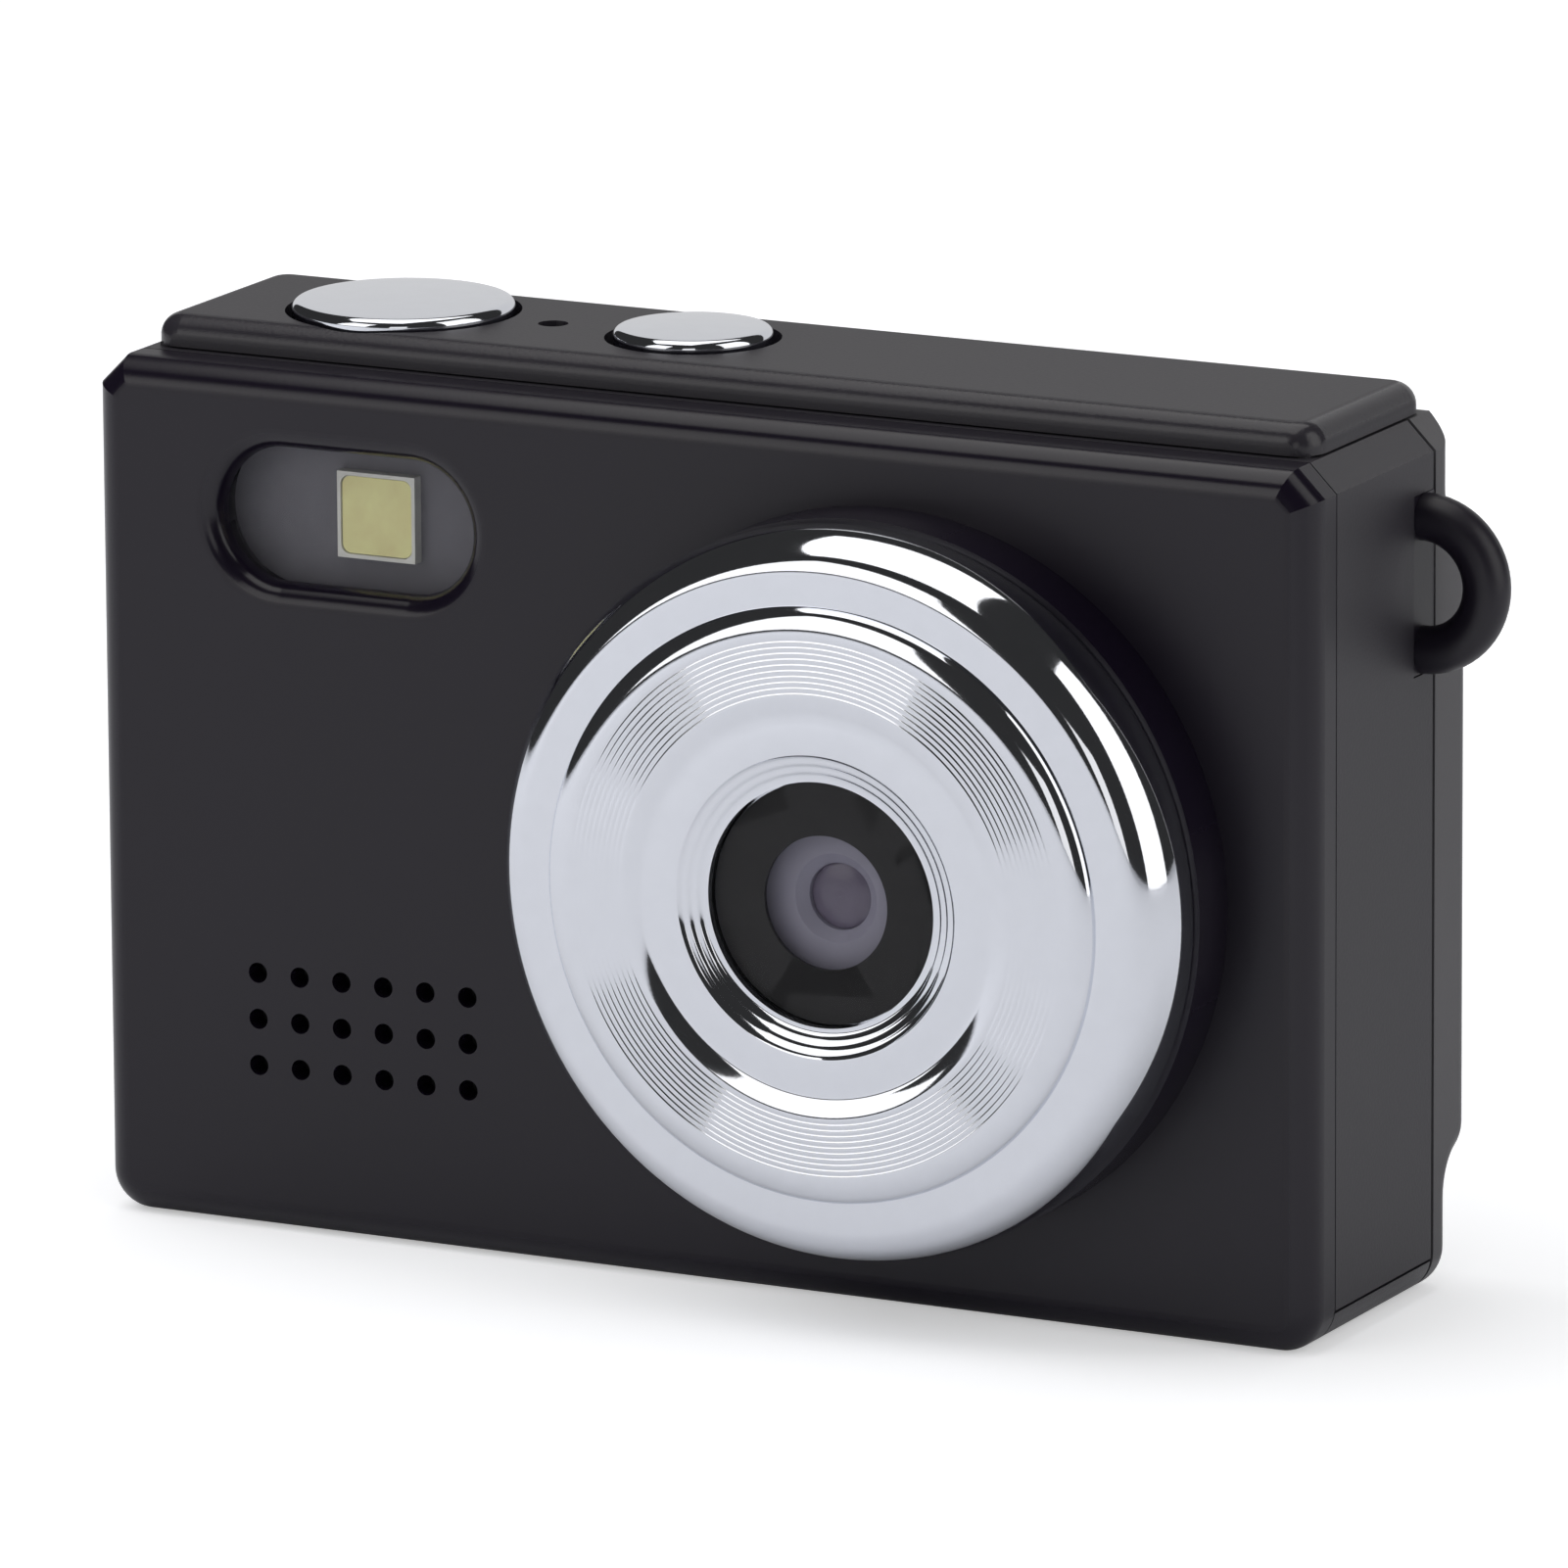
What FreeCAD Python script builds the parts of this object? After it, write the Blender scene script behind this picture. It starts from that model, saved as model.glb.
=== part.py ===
"""Compact digital camera, built as an assembly of separate pieces.

Frame: millimetres, +Z up, the lens looks along -Y, and X runs to the right as seen from the front.
The origin is on the flat underside, midway across the width and midway between the front face and
the rear rim. Each function below returns the solid of one piece, or a group of like solids.
"""
import FreeCAD
import Part
import os
from math import asin, cos, pi, sin

Vec = FreeCAD.Vector

# ---- body ---------------------------------------------------------------------------------------
body_width = 70.7
body_height = 46.2           # underside to deck
body_depth = 17.3            # front face to rear rim
front_cover_depth = 3.0
rear_rim_depth = 2.4
rear_pad_rise = 2.3
top_corner_chamfer = 1.5
bottom_corner_radius = 2.2
front_edge_radius = 1.6
rear_edge_radius = 1.6
front_wall = 1.5
side_wall = 1.8
rear_wall = 1.4
cover_rim_wall = 2.8
lip_depth = 1.0
lip_wall = 0.8
lip_clearance = 0.2
front_seam_gap = 0.1
rear_seam_gap = 0.3
bottom_seam_gap = 0.15
bottom_plate = 1.8

# ---- top cover ----------------------------------------------------------------------------------
top_cover_height = 1.7
top_cover_edge_radius = 1.2
top_cover_front_setback = 3.5
top_cover_side_inset = 1.6
top_cover_corner_radius = 1.6
top_groove_gap = 0.1
top_peg_radius = 1.0
top_peg_length = 1.4

# ---- rear pad -----------------------------------------------------------------------------------
pad_bottom = 4.8
pad_top_margin = 3.7         # deck down to the top of the pad's upper slope
pad_slope_width = 3.6

# ---- lens group ---------------------------------------------------------------------------------
lens_x = 11.4
lens_z = 23.15
collar_radius = 19.25
collar_height = 3.3
collar_bore_radius = 17.4
collar_floor_hole_radius = 8.6
ring_radius = 19.2
ring_foot_radius = 18.8
ring_bulge_height = 4.9
ring_spigot_depth = 2.0
ring_spigot_clearance = 0.1
ring_shell = 1.3
ring_shoulder_height = 7.84
ring_shoulder_radius = 17.2
ring_slope_outer_radius = 15.6
ring_slope_foot_height = 7.87
ring_crown_height = 8.65
ring_ribs_outer_radius = 14.15
ring_ribs_inner_radius = 11.0
ring_rib_count = 10
ring_rib_depth = 0.07
ring_dish_inner_radius = 9.55
ring_dish_height = 8.4
ring_steps_outer_radius = 7.9
ring_step_count = 3
ring_step_width = 0.45
window_radius = 6.4
window_thickness = 0.6
window_face_height = 7.85
window_seat_clearance = 0.04
window_seat_width = 0.9
mask_thickness = 0.25
mask_hole_radius = 3.52
barrel_radius = 4.4
barrel_front_height = 6.1
barrel_length = 8.0
objective_radius = 1.75
objective_seat_depth = 0.5
holder_size = 12.6
holder_length = 5.6
holder_flange_thickness = 1.0
thread_clearance = 0.05
sensor_size = 6.4
sensor_thickness = 0.9

# ---- flash --------------------------------------------------------------------------------------
flash_inset = 14.8              # centre, from the side face
flash_drop = 7.7                # centre, from the deck
flash_length = 14.8
flash_height = 7.2
flash_edge_radius = 1.2
flash_window_setback = 1.3
flash_window_thickness = 0.5
flash_window_flange = 0.7
flash_tunnel_wall = 0.8
flash_tunnel_depth = 3.9     # front face to the tunnel's rear end
flash_led_size = 4.6
flash_led_shift = 0.8
flash_led_thickness = 0.7
flash_phosphor_size = 4.1
flash_phosphor_thickness = 0.15
flash_phosphor_clearance = 0.05
flash_phosphor_sunk = 0.1
flash_phosphor_corner = 0.5
flash_board_depth = 3.1      # front face to the front of the board
flash_board_thickness = 0.8
flash_board_clearance = 0.1
flash_header_width = 8.0
flash_header_height = 4.0

# ---- speaker and microphone ---------------------------------------------------------------------
speaker_x = -19.6
speaker_z = 11.4
speaker_hole_columns = 6
speaker_hole_rows = 3
speaker_hole_pitch = 2.5
speaker_hole_radius = 0.55
speaker_radius = 7.6
speaker_thickness = 3.7
speaker_mesh_thickness = 0.2
speaker_ring_wall = 0.8
microphone_x = -13.45
microphone_radius = 2.0
microphone_thickness = 1.5
microphone_hole_radius = 0.8
boot_wall = 0.8

# ---- boards and battery -------------------------------------------------------------------------
main_board_depth = 5.9       # front face to the front of the main board
main_board_thickness = 1.0
board_edge_gap = 0.35
board_notch = 5.6
chip_thickness = 1.0
battery_width = 40.0
battery_height = 29.5
battery_thickness = 5.2
battery_x = 8.0
battery_z = 22.2
battery_tape_gap = 0.3
battery_foam_inset = 3.0

# ---- display ------------------------------------------------------------------------------------
display_x = 8.0
window_width = 43.6
window_height = 30.2
rear_window_thickness = 0.9
rear_window_clearance = 0.06
window_corner_radius = 1.2
view_width = 39.0
view_height = 29.0
panel_width = 44.6
panel_height = 31.6
panel_thickness = 2.2
panel_clearance = 0.2
bracket_thickness = 0.8
bracket_width = 40.0
bracket_height = 39.0
bracket_screw_span_x = 28.0
bracket_screw_span_z = 36.4
display_foam_gap = 0.85

# ---- buttons ------------------------------------------------------------------------------------
button_y = 1.8
shutter_x = -22.35
shutter_radius = 5.9
shutter_hole_radius = 6.25
mode_x = -5.2
mode_radius = 4.2
mode_hole_radius = 4.65
button_proud = 0.7
button_travel = 0.5
button_edge_radius = 0.45
button_stem_radius = 1.7
button_stem_clearance = 0.08
button_snap_radius = 2.3
button_snap_thickness = 0.5
key_x = -27.0
key_low_z = 12.4
key_pitch = 7.6
key_names = ["menu", "down", "up", "select"]
key_radius = 2.6
key_hole_clearance = 0.15
key_proud = 0.5
key_travel = 0.35
key_flange_radius = 3.2
key_flange_thickness = 0.6
key_stem_radius = 1.4
key_stem_drop = 1.55
key_edge_radius = 0.3
stop_gap = 0.05

# ---- switches -----------------------------------------------------------------------------------
switch_size = 6.0
switch_height = 2.3
switch_board_width = 28.8
switch_board_depth = 6.4
switch_board_thickness = 0.8
switch_plunger_radius = 1.5
switch_plunger_sunk = 0.8
switch_plunger_clearance = 0.08
key_switch_size = 4.6
key_switch_height = 1.5
key_plunger_radius = 1.0
key_plunger_length = 0.55
key_board_width = 12.2
key_board_height = 30.0
key_board_x = -26.6
key_board_z = 23.8
key_board_thickness = 0.8

# ---- status light -------------------------------------------------------------------------------
status_x = -21.6
status_z = 37.0
status_radius = 0.7
status_clearance = 0.05
status_led_height = 0.7

# ---- sockets in the left side -------------------------------------------------------------------
usb_z = 25.2
usb_width = 8.94
usb_thickness = 3.16
usb_length = 7.3
usb_shell = 0.35
usb_tongue_thickness = 0.7
usb_recess = 0.5
usb_slot_clearance = 0.2
card_z = 13.6
card_socket_width = 13.4
card_socket_length = 14.4
card_socket_thickness = 1.7
card_slot_width = 11.6
card_slot_thickness = 1.0
card_slot_clearance = 0.2

# ---- strap lug ----------------------------------------------------------------------------------
strap_z = 38.0
strap_loop_radius = 3.5
strap_tube_radius = 1.25
strap_base_height = 9.4
strap_clearance = 0.06
strap_flange_thickness = 1.0
strap_flange_reach = 0.9

# ---- fasteners ----------------------------------------------------------------------------------
case_screw_inset = 5.15         # from the side face
case_screw_low_z = 4.4
case_screw_radius = 0.85
case_screw_head_radius = 1.5
case_screw_head_thickness = 0.9
case_screw_length = 11.5
case_boss_radius = 2.1
small_screw_radius = 0.6
small_screw_head_radius = 1.1
small_screw_head_thickness = 0.6
small_screw_bite = 2.2
small_boss_radius = 1.45
screw_clearance = 0.03
hole_clearance = 0.15

# ---- places worked out from the sizes above -----------------------------------------------------
half_width = body_width / 2
front_y = -body_depth / 2
rim_y = body_depth / 2
pad_y = rim_y + rear_pad_rise
front_seam_y = front_y + front_cover_depth
rear_seam_y = rim_y - rear_rim_depth
front_wall_y = front_y + front_wall
rim_inner_y = rim_y - rear_wall
pad_inner_y = pad_y - rear_wall
display_z = (pad_bottom + body_height - pad_top_margin) / 2
deck_inner_z = body_height - side_wall
top_face_z = body_height + top_cover_height
board_y = front_y + main_board_depth
tunnel_end_y = front_y + flash_tunnel_depth
flash_board_y = front_y + flash_board_depth
flash_led_y = flash_board_y - flash_led_thickness
board_back_y = board_y + main_board_thickness
battery_y = board_back_y + battery_tape_gap
battery_back_y = battery_y + battery_thickness
panel_back_y = pad_y - rear_window_thickness - display_foam_gap
panel_y = panel_back_y - panel_thickness
bracket_y = panel_y - bracket_thickness
flash_x = flash_inset - half_width
flash_z = body_height - flash_drop
case_screw_x = half_width - case_screw_inset
case_screw_high_z = body_height - case_screw_low_z
case_screw_places = [(sx * case_screw_x, z) for sx in (-1, 1) for z in (case_screw_low_z, case_screw_high_z)]
case_joint_y = 0.0
case_screw_seat_y = rim_inner_y - 0.2
board_screw_places = [(-half_width + 4.2, 31.6), (-8.5, 5.2), (half_width - 4.9, 12.5), (half_width - 4.9, 34.0)]
bracket_screw_places = [
    (display_x + sx * bracket_screw_span_x / 2, display_z + sz * bracket_screw_span_z / 2)
    for sx in (-1, 1)
    for sz in (-1, 1)
]
button_bottom_z = body_height + button_travel + stop_gap
button_top_z = top_face_z + button_proud
snap_top_z = deck_inner_z - stop_gap
plunger_tip_z = snap_top_z - button_snap_thickness
switch_top_z = plunger_tip_z - button_travel - 0.2
switch_board_z = switch_top_z - switch_height
switch_board_x = (shutter_x + mode_x) / 2
switch_post_places = [(microphone_x - 3.95, button_y), (microphone_x + 3.6, button_y)]
key_places = {name: key_low_z + index * key_pitch for index, name in enumerate(key_names)}
key_flange_back_y = pad_inner_y - stop_gap - key_flange_thickness
key_switch_back_y = key_flange_back_y - key_stem_drop - key_travel - key_plunger_length
key_board_back_y = key_switch_back_y - key_switch_height
key_post_places = [(key_x + 5.2, key_low_z + key_pitch * 0.5), (key_x + 5.2, key_low_z + key_pitch * 2.5)]
strap_y = rear_seam_y - strap_tube_radius - strap_clearance
usb_y = board_back_y + usb_thickness / 2
card_y = board_back_y + card_socket_thickness / 2
top_peg_places = [(-half_width + 4.6, 0.0), (8.0, 0.0), (half_width - 8.0, 0.0)]


# ---- plain shapes -------------------------------------------------------------------------------
def box(x0, x1, y0, y1, z0, z1):
    """Block between two corners."""
    return Part.makeBox(x1 - x0, y1 - y0, z1 - z0, Vec(x0, y0, z0))


def centred_box(x, z, width, height, y0, y1):
    """Block centred on a point of the XZ plane, from y0 to y1."""
    return box(x - width / 2, x + width / 2, y0, y1, z - height / 2, z + height / 2)


def rod_y(x, z, radius, y0, y1):
    """Round rod along Y."""
    return Part.makeCylinder(radius, y1 - y0, Vec(x, y0, z), Vec(0, 1, 0))


def rod_z(x, y, radius, z0, z1):
    """Round rod along Z."""
    return Part.makeCylinder(radius, z1 - z0, Vec(x, y, z0), Vec(0, 0, 1))


def join(shapes):
    """All the shapes as one solid."""
    first = shapes[0]
    if len(shapes) == 1:
        return first
    return first.multiFuse(shapes[1:]).removeSplitter()


def remove(shape, tools):
    """The shape with every tool cut out of it."""
    return shape.cut(tools)


def line(a, b):
    return Part.LineSegment(a, b).toShape()


def arc(a, middle, b):
    return Part.Arc(a, middle, b).toShape()


def extrude_wire(edges, direction):
    return Part.Face(Part.Wire(edges)).extrude(direction)


def slot_y(x, z, length, height, y0, y1):
    """Prism along Y with a stadium section that is longest along X."""
    radius = height / 2
    reach = length / 2 - radius
    low, high = Vec(x - reach, y0, z - radius), Vec(x - reach, y0, z + radius)
    low2, high2 = Vec(x + reach, y0, z - radius), Vec(x + reach, y0, z + radius)
    edges = [
        line(low, low2),
        arc(low2, Vec(x + reach + radius, y0, z), high2),
        line(high2, high),
        arc(high, Vec(x - reach - radius, y0, z), low),
    ]
    return extrude_wire(edges, Vec(0, y1 - y0, 0))


def slot_x(y, z, width, thickness, x0, x1):
    """Prism along X with a stadium section that is longest along Z."""
    radius = thickness / 2
    reach = width / 2 - radius
    near, far = Vec(x0, y - radius, z - reach), Vec(x0, y + radius, z - reach)
    near2, far2 = Vec(x0, y - radius, z + reach), Vec(x0, y + radius, z + reach)
    edges = [
        line(near, near2),
        arc(near2, Vec(x0, y, z + reach + radius), far2),
        line(far2, far),
        arc(far, Vec(x0, y, z - reach - radius), near),
    ]
    return extrude_wire(edges, Vec(x1 - x0, 0, 0))


def rounded_box_y(x, z, width, height, radius, y0, y1):
    """Block along Y with its four long edges rounded."""
    block = centred_box(x, z, width, height, y0, y1)
    long_edges = [e for e in block.Edges if abs(e.tangentAt(e.FirstParameter).y) > 0.9]
    return block.makeFillet(radius, long_edges)


def body_block(y0, y1, inset):
    """Prism with the body's outline: sloped top corners and round bottom corners, drawn in by inset."""
    x = half_width - inset
    low, high = inset, body_height - inset
    slope = max(top_corner_chamfer - inset * 0.586, 0.1)
    radius = max(bottom_corner_radius - inset, 0.3)
    bend = radius * (1 - cos(pi / 4))
    points = [
        Vec(-x + radius, y0, low),
        Vec(x - radius, y0, low),
        Vec(x, y0, low + radius),
        Vec(x, y0, high - slope),
        Vec(x - slope, y0, high),
        Vec(-x + slope, y0, high),
        Vec(-x, y0, high - slope),
        Vec(-x, y0, low + radius),
    ]
    edges = [line(points[0], points[1]), arc(points[1], Vec(x - bend, y0, low + bend), points[2])]
    edges += [line(points[i], points[i + 1]) for i in range(2, 7)]
    edges.append(arc(points[7], Vec(-x + bend, y0, low + bend), points[0]))
    return extrude_wire(edges, Vec(0, y1 - y0, 0))


def turned(points, x=lens_x, z=lens_z):
    """Solid of revolution about the lens axis; points are (radius, height above the front face)."""
    corners = [Vec(x + r, front_y - h, z) for r, h in points]
    edges = [line(a, b) for a, b in zip(corners, corners[1:] + corners[:1])]
    return Part.Face(Part.Wire(edges)).revolve(Vec(x, 0, z), Vec(0, 1, 0), 360)


def edges_on_plane_y(shape, y):
    """Edges that lie wholly in the plane of this Y."""
    return [e for e in shape.Edges if abs(e.BoundBox.YMin - y) < 1e-4 and abs(e.BoundBox.YMax - y) < 1e-4]


def screw(x, z, seat_y, reach, radius, head_radius, head_thickness):
    """Screw along -Y: its head stands behind seat_y and its shank runs forward by reach."""
    head = rod_y(x, z, head_radius, seat_y, seat_y + head_thickness)
    recess = head_thickness * 0.55
    slot = head_radius * 0.22
    cross = [
        centred_box(x, z, head_radius, slot, seat_y + head_thickness - recess, seat_y + head_thickness),
        centred_box(x, z, slot, head_radius, seat_y + head_thickness - recess, seat_y + head_thickness),
    ]
    shank = rod_y(x, z, radius, seat_y - reach, seat_y)
    return remove(join([head, shank]), cross)


# ---- shell --------------------------------------------------------------------------------------
def front_cover():
    """Front shell with the lens collar, flash tunnel, speaker grid and screw bosses."""
    block = body_block(front_y, front_seam_y - front_seam_gap, 0)
    shell = block.makeFillet(front_edge_radius, edges_on_plane_y(block, front_y))
    shell = remove(shell, [body_block(front_wall_y, front_seam_y, cover_rim_wall)])
    lip = body_block(front_wall_y, front_seam_y + lip_depth, side_wall + lip_clearance)
    lip = remove(lip, [body_block(front_wall_y, front_seam_y + lip_depth, cover_rim_wall)])
    collar = rod_y(lens_x, lens_z, collar_radius, front_y - collar_height, front_y + 0.2)
    grow = 2 * (flash_window_flange + flash_tunnel_wall)
    tunnel = slot_y(flash_x, flash_z, flash_length + grow, flash_height + grow, front_wall_y - 0.2, tunnel_end_y)
    speaker_ring = rod_y(
        speaker_x, speaker_z, speaker_radius + speaker_ring_wall, front_wall_y - 0.2, front_wall_y + 2.2
    )
    bosses = [rod_y(x, z, case_boss_radius, front_wall_y - 0.2, case_joint_y) for x, z in case_screw_places]
    bosses += [rod_y(x, z, small_boss_radius, front_wall_y - 0.2, board_y) for x, z in board_screw_places]
    shell = join([shell, lip, collar, speaker_ring, tunnel] + bosses)
    cuts = [
        rod_y(lens_x, lens_z, collar_bore_radius, front_y - collar_height, front_y),
        rod_y(lens_x, lens_z, collar_floor_hole_radius, front_y - 0.1, front_wall_y + 0.1),
        slot_y(flash_x, flash_z, flash_length, flash_height, front_y - 0.1, front_seam_y),
        rod_y(speaker_x, speaker_z, speaker_radius + 0.05, front_wall_y, front_seam_y + 1),
    ]
    inner_length = flash_length + 2 * flash_window_flange
    inner_height = flash_height + 2 * flash_window_flange
    window_y = front_y + flash_window_setback
    cuts.append(slot_y(flash_x, flash_z, inner_length, inner_height, window_y, tunnel_end_y + 0.1))
    cuts += [rod_y(x, z, speaker_hole_radius, front_y - 0.1, front_wall_y + 0.1) for x, z in speaker_holes()]
    thread_y = case_screw_seat_y - case_screw_length
    cuts += [
        rod_y(x, z, case_screw_radius + screw_clearance, thread_y - 0.5, case_joint_y + 0.1)
        for x, z in case_screw_places
    ]
    cuts += [
        rod_y(x, z, small_screw_radius + screw_clearance, board_y - small_screw_bite - 0.4, board_y + 0.1)
        for x, z in board_screw_places
    ]
    shell = remove(shell, cuts)
    mouth = [e for e in edges_on_plane_y(shell, front_y) if inside_flash(e)]
    return shell.makeFillet(flash_edge_radius, mouth)


def inside_flash(edge):
    """True for an edge of the flash opening."""
    box_ = edge.BoundBox
    near_x = abs((box_.XMin + box_.XMax) / 2 - flash_x) < flash_length / 2 + 0.1
    near_z = abs((box_.ZMin + box_.ZMax) / 2 - flash_z) < flash_height / 2 + 0.1
    return near_x and near_z


def speaker_holes():
    """Centres of the speaker grid's holes."""
    first_x = speaker_x - (speaker_hole_columns - 1) * speaker_hole_pitch / 2
    first_z = speaker_z - (speaker_hole_rows - 1) * speaker_hole_pitch / 2
    return [
        (first_x + i * speaker_hole_pitch, first_z + j * speaker_hole_pitch)
        for i in range(speaker_hole_columns)
        for j in range(speaker_hole_rows)
    ]


def mid_frame():
    """Arch between the covers: two sides and the deck, with posts for the switch board."""
    arch = body_block(front_seam_y, rear_seam_y - rear_seam_gap, 0)
    cuts = [
        body_block(front_seam_y - 1, rear_seam_y + 1, side_wall),
        box(-half_width - 1, half_width + 1, front_seam_y - 1, rear_seam_y + 1, -1, bottom_plate + bottom_seam_gap),
    ]
    arch = remove(arch, cuts)
    post_bottom = switch_board_z
    posts = [rod_z(x, y, small_boss_radius - 0.15, post_bottom, deck_inner_z + 0.2) for x, y in switch_post_places]
    arch = join([arch] + posts)
    stem_hole = button_stem_radius + button_stem_clearance
    left = -half_width
    cuts = [rod_z(x, button_y, stem_hole, deck_inner_z - 0.1, body_height + 0.1) for x in (shutter_x, mode_x)]
    cuts.append(rod_z(microphone_x, button_y, microphone_hole_radius, deck_inner_z - 0.1, body_height + 0.1))
    cuts += [rod_z(x, y, top_peg_radius + 0.04, deck_inner_z - 0.1, body_height + 0.1) for x, y in top_peg_places]
    cuts += [
        rod_z(x, y, small_screw_radius + screw_clearance, post_bottom - 0.1, post_bottom + small_screw_bite + 0.3)
        for x, y in switch_post_places
    ]
    grow = 2 * usb_slot_clearance
    cuts.append(slot_x(usb_y, usb_z, usb_width + grow, usb_thickness + grow, left - 1, left + side_wall + 1))
    card_grow = 2 * card_slot_clearance
    cuts.append(
        slot_x(card_y, card_z, card_slot_width + card_grow, card_slot_thickness + card_grow, left - 1, left + 3)
    )
    notch_half = strap_base_height / 2 + strap_clearance
    cuts.append(
        box(
            half_width - side_wall - 0.5,
            half_width + 1,
            strap_y - strap_tube_radius - strap_clearance,
            rear_seam_y + 1,
            strap_z - notch_half,
            strap_z + notch_half,
        )
    )
    return remove(arch, cuts)


def bottom_cover():
    """Base plate between the covers, with the body's round bottom corners."""
    block = body_block(front_seam_y, rear_seam_y - rear_seam_gap, 0)
    above = box(-half_width - 1, half_width + 1, front_y, rim_y, bottom_plate, body_height + 1)
    return remove(block, [above])


def top_cover():
    """Raised plate on the deck with the holes for the two top buttons and the microphone."""
    x = half_width - top_cover_side_inset
    y0, y1 = front_y + top_cover_front_setback, rim_y - 0.1
    z0 = body_height + top_groove_gap
    plate = box(-x, x, y0, y1, z0, top_face_z)
    upright = [e for e in plate.Edges if abs(e.tangentAt(e.FirstParameter).z) > 0.9]
    plate = plate.makeFillet(top_cover_corner_radius, upright)
    rim = [e for e in plate.Edges if e.BoundBox.ZMin > top_face_z - 1e-4]
    plate = plate.makeFillet(top_cover_edge_radius, rim)
    foot = box(-x + 0.4, x - 0.4, y0 + 0.4, rear_seam_y - rear_seam_gap, body_height, z0 + 0.1)
    pegs = [rod_z(px, py, top_peg_radius, body_height - top_peg_length, z0 + 0.1) for px, py in top_peg_places]
    plate = join([plate, foot] + pegs)
    cuts = [
        rod_z(shutter_x, button_y, shutter_hole_radius, body_height - 0.1, top_face_z + 1),
        rod_z(mode_x, button_y, mode_hole_radius, body_height - 0.1, top_face_z + 1),
        rod_z(microphone_x, button_y, microphone_hole_radius, body_height - 0.1, top_face_z + 1),
    ]
    return remove(plate, cuts)


def rear_side_profile(x0, x1):
    """Rear cover's side view, swept across the width: the rim, two S-shaped slopes and the raised pad.

    Each slope is two equal arcs, tangent to the flats at its ends and to each other at its middle.
    """
    low, high = pad_bottom, body_height - pad_top_margin
    half_rise, half_run = rear_pad_rise / 2, pad_slope_width / 2
    bend = (half_run ** 2 + half_rise ** 2) / (2 * half_rise)
    turn = asin(half_run / bend)
    part_rise, part_run = bend * (1 - cos(turn / 2)), bend * sin(turn / 2)

    def at(y, z):
        return Vec(x0, y, z)

    low_mid, high_mid = at(rim_y + half_rise, low + half_run), at(rim_y + half_rise, high - half_run)
    pad_low, pad_high = low + pad_slope_width, high - pad_slope_width
    edges = [
        line(at(rear_seam_y, 0), at(rim_y, 0)),
        line(at(rim_y, 0), at(rim_y, low)),
        arc(at(rim_y, low), at(rim_y + part_rise, low + part_run), low_mid),
        arc(low_mid, at(pad_y - part_rise, pad_low - part_run), at(pad_y, pad_low)),
        line(at(pad_y, pad_low), at(pad_y, pad_high)),
        arc(at(pad_y, pad_high), at(pad_y - part_rise, pad_high + part_run), high_mid),
        arc(high_mid, at(rim_y + part_rise, high - part_run), at(rim_y, high)),
        line(at(rim_y, high), at(rim_y, body_height)),
        line(at(rim_y, body_height), at(rear_seam_y, body_height)),
        line(at(rear_seam_y, body_height), at(rear_seam_y, 0)),
    ]
    return extrude_wire(edges, Vec(x1 - x0, 0, 0))


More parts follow.
